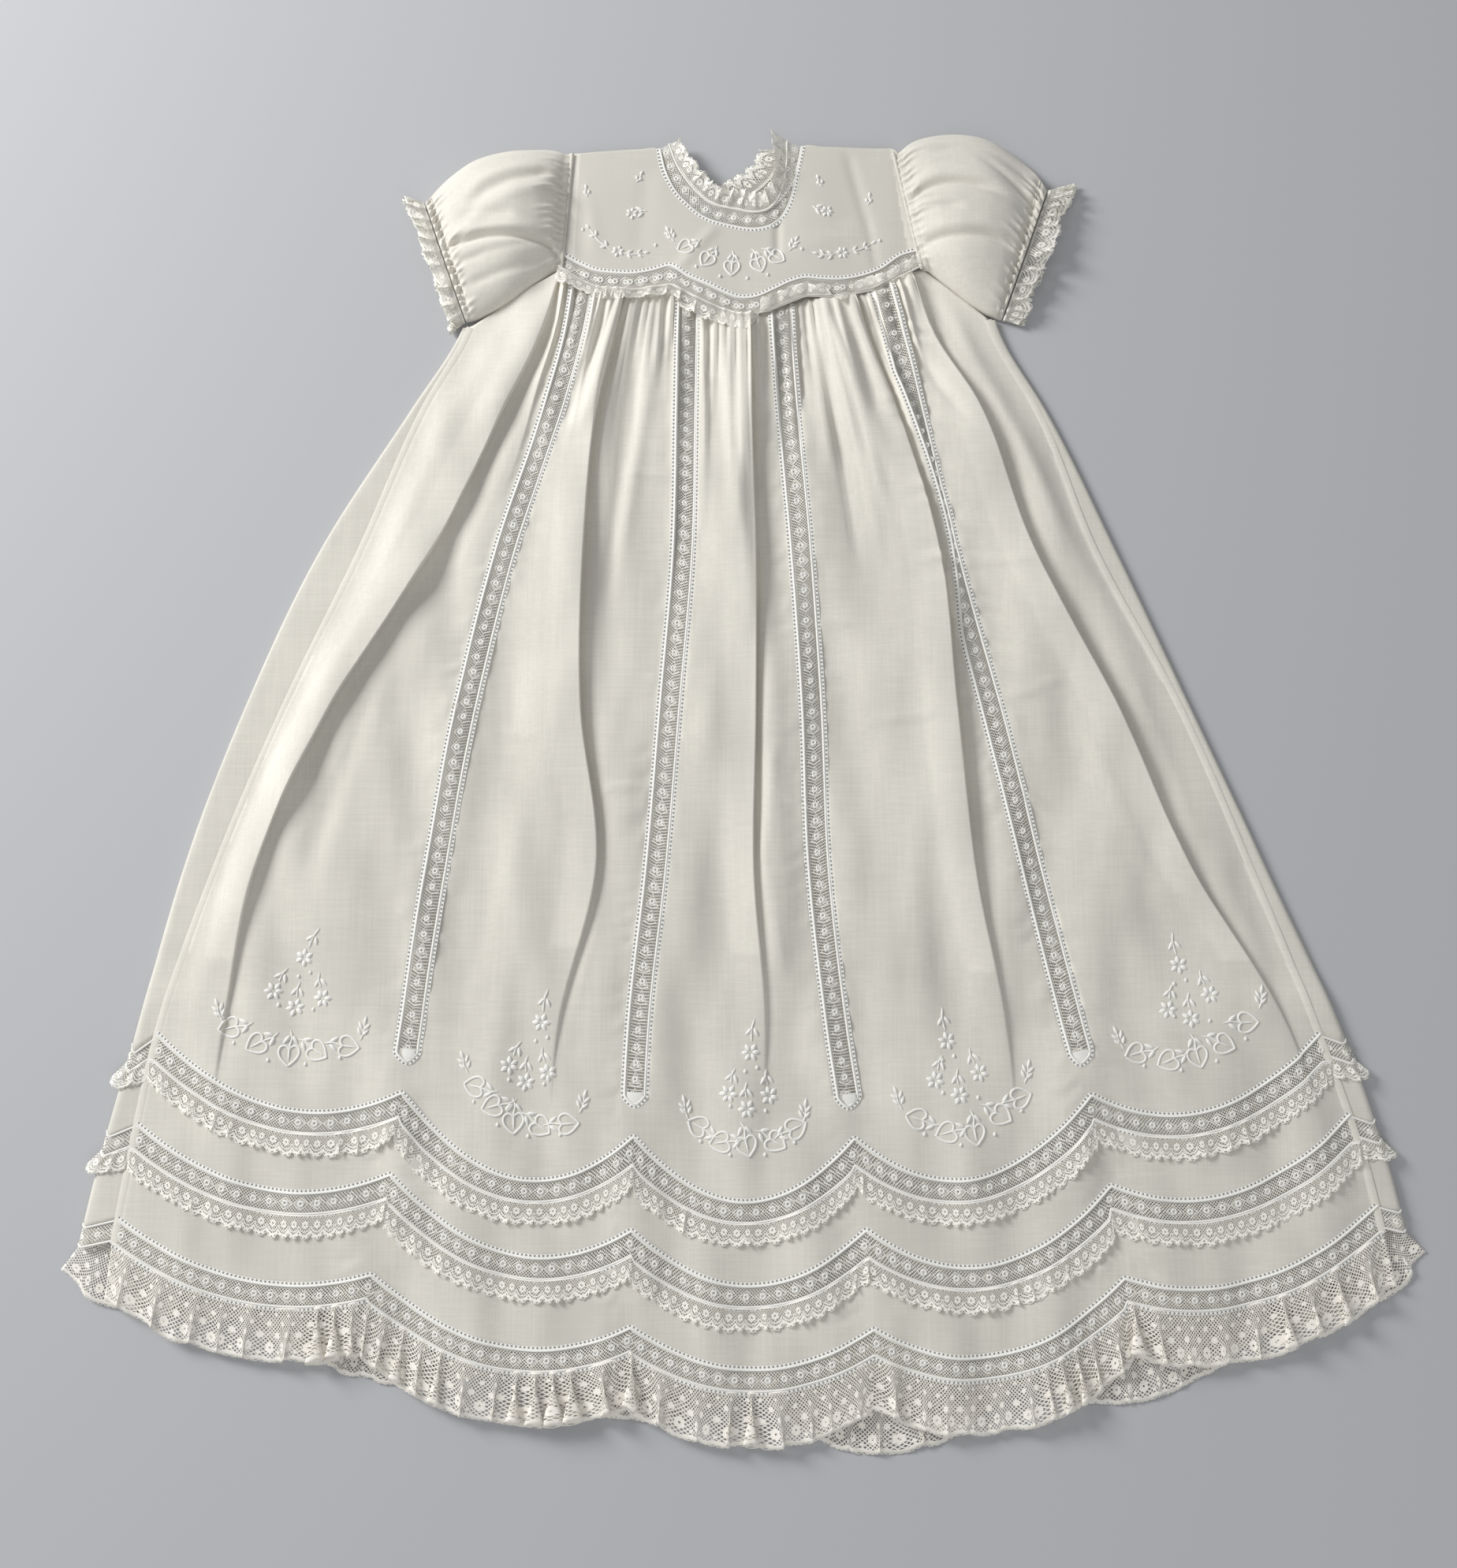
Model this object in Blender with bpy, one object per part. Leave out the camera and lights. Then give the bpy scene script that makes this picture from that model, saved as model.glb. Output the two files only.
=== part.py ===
"""A white cotton christening gown laid flat, one solid for each sewn piece.

The frame: X runs across the gown, +Y from the hem towards the neck and +Z up from the surface that
it lies on. The tables and the lengths below are millimetres; the meshes are in metres.
"""

import math

import bmesh
import bpy
import numpy as np

# Driving sizes
MM = 0.001
CLOTH = 1.0  # wall of every sheet of cloth and lace
SEAM = 0.3  # gap between two pieces that are sewn together
INSERTION = 10.5  # width of the lace let into the skirt and the yoke
EDGING = 12.5  # width of the narrow frilled lace
HEM_LACE = 29.0  # width of the wide lace at the hem
NECK_INSERTION = 9.5
NECK_LACE = 19.0  # width of the neck's insertion and edging together
NECK_LIFT_SHARE = 0.3  # share of its rise that the neck's lace has at the edging's seam
EDGING_FLARE = 1.03  # the frilled lace spreads this much wider than its seam
HEM_FLARE = 1.05
STRIP_HALF = 5.5  # half the width of a lace strip down the skirt
STRIP_POINT = 9.0  # length of the point in which a strip ends
STRIP_END = 17.0  # from that point to the shaped row of lace
TUBE_EDGE = 2.6  # height of the flattened tube's inside at its two side folds
EDGE_ROUND = 2.4  # reach of the round at a side fold
REST_LIFT = 2.4  # how far the front panel stands off the back panel where no fold is
LEAST_LIFT = 0.45
GATHER_RISE = 1.3  # half the height of a gather at the yoke seam
GATHER_FADE = 78.0  # the gathers have gone this far below the seam
GATHER_REACH = 9.0  # the yoke's frill rests on the gathers this far to each side
FRILL_RISE = 1.5  # height of a frill's waves at its free edge
GATHERED_SHARE = 0.25  # and the share of it at the seam
GATHERS_END = 104.0  # no gathers further than this from the middle
BAND_RAISE = 1.3  # the hem bands lie on the back's frills
RAISE_RAMP = 24.0
BANDS_START = -132.0  # where the back's lowest rows begin at the sides
BANDS_DIP = 52.0  # and how much lower at the middle
BANDS_HALF = 330.0
FRILL_CLEAR = 0.45  # a frill clears what it lies on by this
FOLDED_SHARE = 0.86  # the front's hem lace is folded under a little
BACK_HEM_RISE = 0.8
MOST_SLANT = 1.45  # how much a slanting edge widens its lace, at most
MOST_WALL = 1.7  # and a steep slope the upright thickness
WRAP_LEAST = 3.6  # the back reaches at least this far round past the front's seam
COLUMN_GAP = 0.8

# Distances towards the hem at which the table of lines gives its x
LEVELS = (-290, -247, -203, -118, -26, 64, 150, 226, 292)

# Lines down the front of the skirt: seams, lace strips and the sharp lip of each deep fold
LINES = {
    "seam_left": (-147, -161, -184, -218, -258, -292, -318, -331, -340),
    "fold_1": (-107, -119, -139, -179, -234, -271, -283, -290, -296),
    "strip_1": (-91, -97, -108, -134, -154.5, -169, -180, -188, -199),
    "fold_2": (-66, -76, -86, -93.5, -94, -83, -101, -106, -110),
    "strip_2": (-30, -31, -31.5, -33, -40, -47, -56, -58.5, -59),
    "fold_3": (3, 3, 3, 4.5, 4, 4, 12, 10, 8),
    "strip_3": (23, 24.5, 27.5, 34.5, 40, 43, 52, 63, 70),
    "fold_4": (60, 71, 86, 108, 116, 126, 143, 150, 155),
    "strip_4": (79, 89.5, 99.5, 118, 141, 161, 180.5, 197, 205),
    "fold_5": (97, 110, 134, 162, 206, 245, 296, 318, 330),
    "seam_right": (138, 149, 172, 203, 248, 283, 314, 337, 349),
}
SIDE_LEFT = (-152, -165, -191, -241, -280, -310, -331, -348, -360)
SIDE_RIGHT = (143, 153, 177, 215, 254, 292, 328, 350, 362)

# Deep folds: the lip stands up by rise and the floor beside it sinks by drop, over a floor's width.
# Each size is given at the yoke, half way down and at the hem. Side 1 has its floor to the right.
DEEP_FOLDS = (
    # line, side, rise, drop, width
    ("fold_1", 1, (2.6, 5.2, 1.4), (1.4, 1.9, 0.8), (4, 21, 12)),
    ("fold_2", 1, (2.6, 3.6, 1.2), (1.4, 1.9, 0.8), (4, 9, 10)),
    ("fold_3", 1, (2.6, 4.0, 1.2), (1.4, 1.9, 0.8), (4, 8, 9)),
    ("fold_4", 1, (2.6, 5.0, 1.4), (1.4, 1.9, 0.8), (5, 10, 12)),
    ("fold_5", 1, (2.6, 4.4, 1.2), (1.4, 1.9, 0.8), (6, 20, 11)),
)
LIP_STEP = 2.6  # across from a fold's lip to its foot
LIP_REACH = 26.0  # how far back from the lip its rise carries
FOOT_SHARE = 0.9  # the column at a fold's foot stands this far along the step
FADE = 0.15  # share of a soft fold's length over which each end fades
SEAM_CALM = 22.0  # folds die away this near a side seam

# Soft folds: a straight trough or ridge with fading ends
SOFT_FOLDS = (
    # start x, start y, end x, end y, height, half width
    (-152, 236, -300, -110, 1.6, 17),
    (-79, 262, -100, 196, -1.5, 4.5),
    (-58, 240, -77, 96, -1.7, 6),
    (-14, 250, 0, 186, 1.5, 6),
    (12, 110, 24, -120, 2.2, 8),
    (38, 252, 60, 168, -1.6, 5),
    (52, 254, 82, 172, 1.5, 6),
    (78, 70, 98, -120, 1.8, 18),
    (-125, 60, -150, -120, -1.2, 14),
    (158, 60, 214, -110, 1.6, 18),
    (128, 232, 296, -40, 1.8, 13),
    (-215, 40, -236, -110, 1.5, 13),
)

# Rows of points down the panel and down each hem band, as shares of its length
SKIRT_SHARES = (0, 0.035, 0.08, 0.14, 0.22, 0.33, 0.46, 0.6, 0.74, 0.88, 1)
BAND_SHARES = (0, 0.5, 1)

# Columns of the front's mesh between one line and the next
BETWEEN = (4, 3, 5, 7, 6, 1, 7, 1, 2, 4)

# Upper edge of the skirt's front: the two armholes and the shaped seam under the yoke
SKIRT_TOP = (
    # x, y
    (-158, 252), (-107, 287.5), (-95, 281), (-83, 275.5), (-65, 274), (-52, 276), (-41, 278),
    (-18, 265.5), (0, 258), (16, 261), (38, 270.5), (57, 270), (81, 275.5), (95, 284), (107, 289),
    (149, 254),
)

# Upper edges of the three shaped rows of lace. Each has its height at the six peaks, which stand
# on the seams and the strips, and the depth of the five scallops between them.
FRONT_ROWS = (
    # peaks, depths
    ((-155, -187, -210, -211, -188, -155), (24, 34, 34, 33, 25)),
    ((-203, -230, -259, -259, -236, -198), (21, 27, 29, 30, 23)),
    ((-253, -282, -309, -310, -284, -246), (17, 23, 21, 26, 20)),
)
PEAK_LINES = ("seam_left", "strip_1", "strip_2", "strip_3", "strip_4", "seam_right")

# The same three rows on the back, whose scallops stand half a scallop to the side
BACK_PEAK_SHARES = (0.0, 0.13, 0.325, 0.51, 0.70, 0.88, 1.0)
BACK_ROW = ((-253, -266, -290, -302, -298, -274, -246), (6, 20, 22, 34, 22, 6))
BACK_RISES = (98, 49, 0)  # each row above the lowest one
BACK_STEPS = (2, 4, 4, 4, 4, 2)  # columns in each scallop
BACK_TOP = ((-158, 252), (-107, 288), (-100, 286), (100, 286), (107, 289), (149, 254))

# Front yoke: its lower edge on the lace, and its shoulders and neck above
YOKE_COLUMNS = (
    # lower x, lower y, upper x, upper y
    (-104.3, 297, -101.8, 361), (-93, 290.5, -90, 362), (-83, 286.5, -76, 363),
    (-65, 285, -60, 364), (-52, 287, -48.3, 364), (-41, 289.5, -45, 350), (-31, 283, -39, 337),
    (-18, 277, -30, 327), (-9, 272.5, -20, 319.5), (0, 269.5, -6, 315), (10, 270.5, 9, 313),
    (20, 275, 22, 317.5), (29, 279.5, 30, 330), (38, 282, 34, 350), (48, 281.3, 37.3, 365.5),
    (60, 281.5, 50, 365.5), (72, 284, 66, 365), (83, 288.5, 80, 364.5), (94, 296.5, 92.6, 363.5),
    (105, 300, 95, 352),
)
YOKE_RISE = 2.2
YOKE_SHARES = (0, 0.3, 0.65, 1)
YOKE_LACE_ENDS = ((-106.3, 288.6), (106.6, 290.2))  # its lower corners at the armholes
YOKE_FRILL_OVERLAP = 2.0  # the frill starts on the lace and lies on the gathers
YOKE_FRILL = 10.5

# Neck lace: the seam on the yoke, the free edge inside the neck, and how high that edge stands
NECK_FRONT = (
    # seam x, seam y, free x, free y, rise
    (-47.9, 364.4, -37, 369.5, 3.0), (-44.4, 350, -31, 357, 4.0), (-38.4, 337.5, -23, 347, 4.0),
    (-29.6, 327.6, -16, 339, 3.5), (-19.8, 320.1, -10, 336, 3.0), (-6, 315.7, 0, 335, 2.5),
    (8.6, 313.7, 8, 333, 3.0), (21.2, 318, 14, 334, 4.5), (29, 330, 19, 341, 6.0),
    (33.4, 350, 21, 353, 6.0), (36.6, 365.8, 19, 371, 5.0),
)
NECK_LEFT = (
    (-47.9, 364.4, -37.5, 368.5, 0.2), (-45, 350, -33, 357, 0.2), (-37, 336, -27, 349, 0.2),
    (-28.5, 327, -20.5, 342, 0.2),
)
NECK_RIGHT = (
    (36.6, 365.8, 13.5, 366, 0.2), (33, 347, 8.5, 354.5, 0.2), (22, 331, -1, 347, 0.2),
    (5, 321, -9, 342, 0.2), (-13, 318, -14.5, 337.5, 0.2),
)
BACK_YOKE_LEFT = (
    # lower x, lower y, upper x, upper y
    (-106.4, 288.6, -101.8, 361), (-88, 286.6, -76, 363), (-70, 286.6, -48.3, 364.3),
    (-55, 286.6, -45.4, 349.8), (-38, 286.6, -37.5, 335.5), (-20.5, 286.6, -28.8, 326.4),
    (-19.5, 286.6, -19.5, 321),
)
BACK_YOKE_RIGHT = (
    (-16.5, 286.6, -16.5, 317.4), (-4, 286.6, -12.6, 317.4), (14, 286.6, 5.3, 320.4),
    (32, 286.6, 22.4, 330.5), (50, 286.6, 33.5, 346.8), (66, 286.6, 37.1, 365.8),
    (84, 286.6, 66, 365), (106.3, 289.8, 92.6, 363.5),
)

# Sleeves: the upper and lower fold of the flattened puff, from the armhole to the gathered wrist,
# with the height of the puff there
SLEEVE_LEFT = (
    # upper x, upper y, lower x, lower y, height
    (-102.5, 361, -107.7, 290, 10.5), (-111, 363.5, -112, 287.5, 13.0),
    (-123, 363.5, -119, 282, 16.0), (-139, 362, -129, 274.8, 18.5), (-157, 356.5, -140, 267, 18.5),
    (-172, 346, -150, 260, 16.0), (-182, 336, -156, 256.5, 13.0), (-186.5, 330, -160.5, 255.5, 11.5),
)
SLEEVE_RIGHT = (
    (93.6, 361.5, 108.6, 291, 10.5), (102, 368.5, 113.5, 287, 13.0), (115, 372.5, 120, 281.5, 16.0),
    (131, 373, 128.5, 274.3, 18.5), (148, 369, 137, 267, 18.5), (164, 359, 145, 260.5, 16.0),
    (176, 348, 150, 257.5, 13.0), (182, 338, 153, 257, 11.5),
)
SLEEVE_FOLDS = 3.0  # broad folds across the puff
SLEEVE_FOLD_RISE = 1.6
GATHER_COUNT = 12  # gathers at the armhole and at the wrist
WRIST_RISE = 0.9
PUFF_STEPS = 24  # columns across the upper side, two for each gather
PUFF_EDGE = 2.4  # height of the puff's two side folds, and of the cuff's
CUFF_EDGE = 3.0
PUFF_ROUND = 0.6  # how full the section is: 1 is a sine, less is squarer
WALL_SHARE = 1.15  # the upper wall's upright thickness over the cloth's own
UNDER_RIM = 1.6  # the underside's inner corners lie this many walls in
UNDER_SHARES = (0.965, 0.75, 0.5, 0.25, 0.035)  # columns across the flat underside
CUFF_LEFT = ((-187.2, 330.5, -161.2, 255.3, 11.0), (-199.5, 333.5, -170.0, 250.5, 10.5))
CUFF_RIGHT = ((182.7, 338.3, 153.7, 256.8, 11.0), (199.5, 341.5, 166.0, 254.5, 10.5))
CUFF_RISE = 1.2

BATISTE = ("batiste", (0.80, 0.79, 0.76), 0.85)
LACE = ("lace", (0.84, 0.81, 0.74), 0.9)


def spline(at, knots, values):
    """A smooth curve through the knots, level beyond both ends."""
    knots = np.asarray(knots, float)
    values = np.asarray(values, float)
    at = np.clip(at, knots[0], knots[-1])
    slopes = np.gradient(values, knots)
    i = np.clip(np.searchsorted(knots, at) - 1, 0, len(knots) - 2)
    step = knots[i + 1] - knots[i]
    t = (at - knots[i]) / step
    rise = values[i + 1] - values[i]
    bend_in = slopes[i] * step - rise
    bend_out = rise - slopes[i + 1] * step
    return values[i] + t * rise + t * (1 - t) * ((1 - t) * bend_in + t * bend_out)


def smooth(t):
    t = np.clip(t, 0.0, 1.0)
    return t * t * (3 - 2 * t)


def down_gown(y, at_yoke, half_way, at_hem):
    """A size that changes from the yoke to the hem."""
    return spline(-y, (-280, -150, 30, 150, 300), (at_yoke, half_way, half_way, half_way, at_hem))


def line_x(line, y):
    table = LINES.get(line, line)
    return spline(-y, LEVELS, table)


def top_edge(table, x):
    xs, ys = zip(*table)
    return np.interp(x, xs, ys)


def meet(path, edge, y=0.0):
    """Where a line down the skirt meets an edge across it."""
    for _ in range(8):
        y = float(edge(path(y)))
    return y


def scallops(peaks_x, peaks_y, depths, x):
    """Height of a scalloped edge, and its slope."""
    i = int(np.clip(np.searchsorted(peaks_x, x) - 1, 0, len(depths) - 1))
    span = peaks_x[i + 1] - peaks_x[i]
    t = min(max((x - peaks_x[i]) / span, 0.0), 1.0)
    y = peaks_y[i] + (peaks_y[i + 1] - peaks_y[i]) * t - 4 * depths[i] * t * (1 - t)
    slope = (peaks_y[i + 1] - peaks_y[i] - 4 * depths[i] * (1 - 2 * t)) / span
    return y, slope


def front_row(row, x):
    peaks, depths = FRONT_ROWS[row]
    xs = [float(line_x(line, y)) for line, y in zip(PEAK_LINES, peaks)]
    return scallops(xs, peaks, depths, x)


def back_row(row, x):
    peaks, depths = BACK_ROW
    ys = [y + BACK_RISES[row] for y in peaks]
    xs = [back_x(share, y) for share, y in zip(BACK_PEAK_SHARES, ys)]
    return scallops(xs, ys, depths, x)


def back_x(share, y):
    left, right = (float(line_x(side, y)) for side in (SIDE_LEFT, SIDE_RIGHT))
    return left + EDGE_ROUND + (right - left - 2 * EDGE_ROUND) * share


def under_row(row_at, row, width):
    """The lower edge of lace of an even width under a scalloped edge."""

    def edge(x):
        y, slope = row_at(row, x)
        return y - width * min(math.hypot(1, slope), MOST_SLANT)

    return edge


def raise_of_bands(x, y):
    """How far the back lies off the ground: its hem bands lie on frills."""
    start = BANDS_START - BANDS_DIP * (1 - (x / BANDS_HALF) ** 2)
    return BAND_RAISE * float(smooth((start + RAISE_RAMP - y) / RAISE_RAMP))


def lift(x, y):
    """How far the front panel stands off the back panel."""
    height = REST_LIFT
    for line, side, rise, drop, width in DEEP_FOLDS:
        beside = side * (x - float(line_x(line, y)))
        up, sink, floor = (float(down_gown(y, *size)) for size in (rise, drop, width))
        if beside <= 0:
            height += up * math.exp(-((beside / LIP_REACH) ** 2))
        elif beside < LIP_STEP:
            height += up - (up + sink) * float(smooth(beside / LIP_STEP))
        elif beside < floor:
            height -= sink * (1 - float(smooth((beside - LIP_STEP) / (floor - LIP_STEP))))
    for x0, y0, x1, y1, rise, half in SOFT_FOLDS:
        along = (y0 - y) / (y0 - y1)
        if -FADE < along < 1 + FADE:
            fade = float(smooth((along + FADE) / 2 / FADE) * smooth((1 + FADE - along) / 2 / FADE))
            height += rise * fade * math.exp(-(((x - x0 - (x1 - x0) * along) / half) ** 2))
    seam = min(x - float(line_x("seam_left", y)), float(line_x("seam_right", y)) - x)
    keep = float(smooth(seam / SEAM_CALM))
    at_seam = TUBE_EDGE - CLOTH - SEAM
    return max(at_seam + (height - at_seam) * keep, LEAST_LIFT)


def front_columns():
    """The columns of the front's mesh, each a function that gives its x at a height y."""
    names = list(LINES)
    groups = []
    for name in names:
        if name.startswith("strip"):
            groups.append([(name, -STRIP_HALF), (name, 0.0), (name, STRIP_HALF)])
        elif name.startswith("fold"):
            groups.append([(name, 0.0), (name, "foot"), (name, "end")])
        else:
            groups.append([(name, 0.0)])
    widths = {line: width for line, side, rise, drop, width in DEEP_FOLDS}

    def place(name, offset):
        def at(y):
            x = float(line_x(name, y))
            if offset == "foot":
                return x + LIP_STEP * FOOT_SHARE
            if offset == "end":
                return x + float(down_gown(y, *widths[name]))
            return x + offset

        return at

    columns = []
    for k, group in enumerate(groups):
        columns += [place(*item) for item in group]
        if k < len(BETWEEN):
            last, after = columns[-1], place(*groups[k + 1][0])
            for n in range(1, BETWEEN[k] + 1):
                share = n / (BETWEEN[k] + 1)
                columns.append(
                    lambda y, a=last, b=after, s=share: a(y) + (b(y) - a(y)) * s
                )
    return columns


def in_order(xs):
    """Columns that would cross are set a little apart, between the two seams."""
    xs = list(xs)
    for k in range(1, len(xs) - 1):
        xs[k] = max(xs[k], xs[k - 1] + COLUMN_GAP)
    for k in range(len(xs) - 2, 0, -1):
        xs[k] = min(xs[k], xs[k + 1] - COLUMN_GAP)
    return xs


def slope_wall(points):
    """Upright thickness that keeps the cloth's own thickness on a slope across the gown."""
    walls = []
    for k, (x, y, z) in enumerate(points):
        a, b = points[max(k - 1, 0)], points[min(k + 1, len(points) - 1)]
        slope = (b[2] - a[2]) / math.hypot(b[0] - a[0], b[1] - a[1])
        walls.append(CLOTH * min(math.hypot(1, slope), MOST_WALL))
    return walls


def solid(name, lower, upper, finish, closed=False):
    """A grid moved to the points of its lower face and drawn out to those of its upper face."""
    across, along = len(lower[0]), len(lower)
    mesh = bmesh.new()
    bmesh.ops.create_grid(mesh, x_segments=across - 1, y_segments=along - 1, size=1)
    place = mesh.verts.layers.int.new("place")
    for vert in mesh.verts:
        column = round((vert.co.x + 1) / 2 * (across - 1))
        row = round((vert.co.y + 1) / 2 * (along - 1))
        vert[place] = row * across + column
        vert.co = [length * MM for length in lower[row][column]]
    if closed:
        bmesh.ops.remove_doubles(mesh, verts=mesh.verts, dist=1e-6)
    bmesh.ops.triangulate(mesh, faces=mesh.faces, quad_method="FIXED")
    drawn = bmesh.ops.extrude_face_region(mesh, geom=mesh.faces[:], use_keep_orig=True)
    for vert in drawn["geom"]:
        if isinstance(vert, bmesh.types.BMVert):
            row, column = divmod(vert[place], across)
            vert.co = [length * MM for length in upper[row][column]]
    bmesh.ops.recalc_face_normals(mesh, faces=mesh.faces)
    data = bpy.data.meshes.new(name)
    mesh.to_mesh(data)
    mesh.free()
    piece = bpy.data.objects.new(name, data)
    data.materials.append(material(*finish))
    gown().objects.link(piece)
    return piece


def raised(points, walls):
    return [(x, y, z + wall) for (x, y, z), wall in zip(points, walls)]


def laid_sheet(name, lower, finish):
    """A sheet that lies with its lower face on the given rows of points."""
    solid(name, lower, [raised(row, slope_wall(row)) for row in lower], finish)


def laid_lace(name, lower):
    """Level lace, whose waves keep their upright thickness."""
    solid(name, lower, [[(x, y, z + CLOTH) for x, y, z in row] for row in lower], LACE)


def material(name, colour, roughness):
    found = bpy.data.materials.get(name)
    if found:
        return found
    made = bpy.data.materials.new(name)
    made.use_nodes = True
    shader = made.node_tree.nodes["Principled BSDF"]
    shader.inputs["Base Color"].default_value = (*colour, 1)
    shader.inputs["Roughness"].default_value = roughness
    shader.inputs["Metallic"].default_value = 0.0
    return made


def gown():
    found = bpy.data.collections.get("christening_gown")
    if not found:
        found = bpy.data.collections.new("christening_gown")
        bpy.context.scene.collection.children.link(found)
    return found


def clear_scene():
    for old in list(bpy.data.objects):
        bpy.data.objects.remove(old, do_unlink=True)


def gather(k, x, below):
    """Height of a gather at one column, some way below the yoke seam."""
    if abs(x) > GATHERS_END:
        return 0.0
    return GATHER_RISE * (-1) ** k * (1 - float(smooth(below / GATHER_FADE)))


def front_point(x, y, k, below):
    z = CLOTH + SEAM + raise_of_bands(x, y) + lift(x, y) + gather(k, x, below)
    return (x, y, max(z, CLOTH + 2 * SEAM + raise_of_bands(x, y)))


class FrontGrid:
    """Rows of points down the whole front of the skirt, shared by every piece sewn into it."""

    def __init__(self):
        self.columns = front_columns()
        self.tops = [
            meet(path, lambda x: top_edge(SKIRT_TOP, x), 270.0) for path in self.columns
        ]

    def row(self, heights):
        """One row of points across the front, at a height for each column."""
        xs = in_order(path(y) for path, y in zip(self.columns, heights))
        return [
            front_point(x, y, k, self.tops[k] - y) for k, (x, y) in enumerate(zip(xs, heights))
        ]

    def heights(self, edge):
        return [meet(path, edge, -200.0) for path in self.columns]

    def between(self, upper, lower, shares):
        return [
            self.row([a + (b - a) * share for a, b in zip(upper, lower)]) for share in shares
        ]


def lace_strip(grid, name, line, skirt_rows):
    """A strip of lace down the skirt, laid on the panel's own points and ending in a point."""
    first = next(
        k for k, path in enumerate(grid.columns)
        if abs(path(0.0) - float(line_x(line, 0.0)) + STRIP_HALF) < 1e-6
    )
    lower = []
    for row in skirt_rows[1:]:
        walls = slope_wall(row)
        lower.append([
            (x, y, z + wall + SEAM)
            for (x, y, z), wall in list(zip(row, walls))[first:first + 3]
        ])
    above, last = lower[-2], lower[-1]
    length = abs(above[1][1] - last[1][1])
    tip, shoulder = STRIP_END / length, (STRIP_END + STRIP_POINT) / length
    lower[-1] = [
        tuple(q + (p - q) * share for p, q in zip(a, b))
        for a, b, share in zip(above, last, (shoulder, tip, shoulder))
    ]
    laid_lace(name, lower)


def frill(name, head, foot, waves_per_cell, rise):
    """Frilled lace on the points of what it lies on, moved out, with waves across it."""
    lower = []
    for height, points in ((rise * GATHERED_SHARE, head), (rise, foot)):
        row = []
        for k in range(len(points) - 1):
            for n in range(waves_per_cell):
                t = n / waves_per_cell
                x, y, z = (a + (b - a) * t for a, b in zip(points[k], points[k + 1]))
                row.append((x, y, z + height * ((k * waves_per_cell + n) % 2)))
        row.append(points[-1])
        lower.append(row)
    laid_lace(name, lower)


def on_top(row):
    return [(x, y, z + wall + FRILL_CLEAR) for (x, y, z), wall in zip(row, slope_wall(row))]


def skirt_front():
    """The front panel, the strips, and the three rows of lace with the two bands between them."""
    grid = FrontGrid()
    top = [y - SEAM for y in grid.tops]
    row_tops = [grid.heights(lambda x, r=r: front_row(r, x)[0]) for r in range(3)]
    row_feet = [grid.heights(under_row(front_row, r, INSERTION)) for r in range(3)]
    panel_end = [y + SEAM for y in row_tops[0]]
    skirt = grid.between(top, panel_end, SKIRT_SHARES)
    laid_sheet("front_skirt", skirt, BATISTE)
    for n in range(4):
        lace_strip(grid, f"skirt_strip_{n + 1}", f"strip_{n + 1}", skirt)
    for r in range(3):
        rows = grid.between(row_tops[r], row_feet[r], (0, 1))
        laid_sheet(f"front_insertion_{r + 1}", rows, LACE)
    for r in range(2):
        upper = [y - SEAM for y in row_feet[r]]
        lower = [y + SEAM for y in row_tops[r + 1]]
        rows = grid.between(upper, lower, BAND_SHARES)
        laid_sheet(f"front_band_{r + 1}", rows, BATISTE)
        head, half_way = on_top(rows[0]), on_top(rows[1])
        foot = [
            tuple(p + (q - p) * EDGING / (a[1] - b[1]) for p, q in zip(a, b))
            for a, b in zip(head, half_way)
        ]
        frill(f"front_edging_{r + 1}", head, foot, 1, FRILL_RISE)
    head = [y - SEAM for y in row_feet[2]]
    foot = grid.heights(under_row(front_row, 2, INSERTION + SEAM + HEM_LACE * FOLDED_SHARE))
    frill("front_hem_lace", *grid.between(head, foot, (0, 1)), 2, FRILL_RISE)
    return skirt


def back_section(y, shares):
    """Outer and inner points of the back across the gown, folded up and over at both sides."""
    base = [raise_of_bands(back_x(s, y), y) for s in shares]
    outer = [(back_x(s, y), y, z) for s, z in zip(shares, base)]
    inner = [(x, y, z + CLOTH) for x, y, z in outer]
    fold_top = TUBE_EDGE + CLOTH
    for side, seam, edge, at in ((-1, "seam_left", SIDE_LEFT, 0), (1, "seam_right", SIDE_RIGHT, -1)):
        z = base[at]
        seam_x = float(line_x(seam, y)) + side * SEAM
        edge_x = float(line_x(edge, y))
        edge_x = side * max(side * edge_x, side * seam_x + WRAP_LEAST)
        in_x = edge_x - side * EDGE_ROUND
        over = [
            ((edge_x, z + fold_top / 2), (edge_x - side * CLOTH, z + fold_top / 2)),
            ((in_x, z + fold_top), (in_x - side * SEAM, z + fold_top - CLOTH)),
            ((seam_x, z + fold_top), (seam_x, z + fold_top - CLOTH)),
        ]
        for (ox, oz), (ix, iz) in over:
            if side < 0:
                outer.insert(0, (ox, y, oz))
                inner.insert(0, (ix, y, iz))
            else:
                outer.append((ox, y, oz))
                inner.append((ix, y, iz))
    return outer, inner


def back_shares():
    shares = []
    for k, steps in enumerate(BACK_STEPS):
        a, b = BACK_PEAK_SHARES[k], BACK_PEAK_SHARES[k + 1]
        shares += [a + (b - a) * n / steps for n in range(steps)]
    return shares + [1.0]


def bent_section(heights, shares):
    """A section of the back whose points each have their own height y along the gown."""
    outer, inner = [], []
    for k, y in enumerate(heights):
        one_outer, one_inner = back_section(y, shares)
        outer.append(one_outer[k])
        inner.append(one_inner[k])
    return outer, inner


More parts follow.
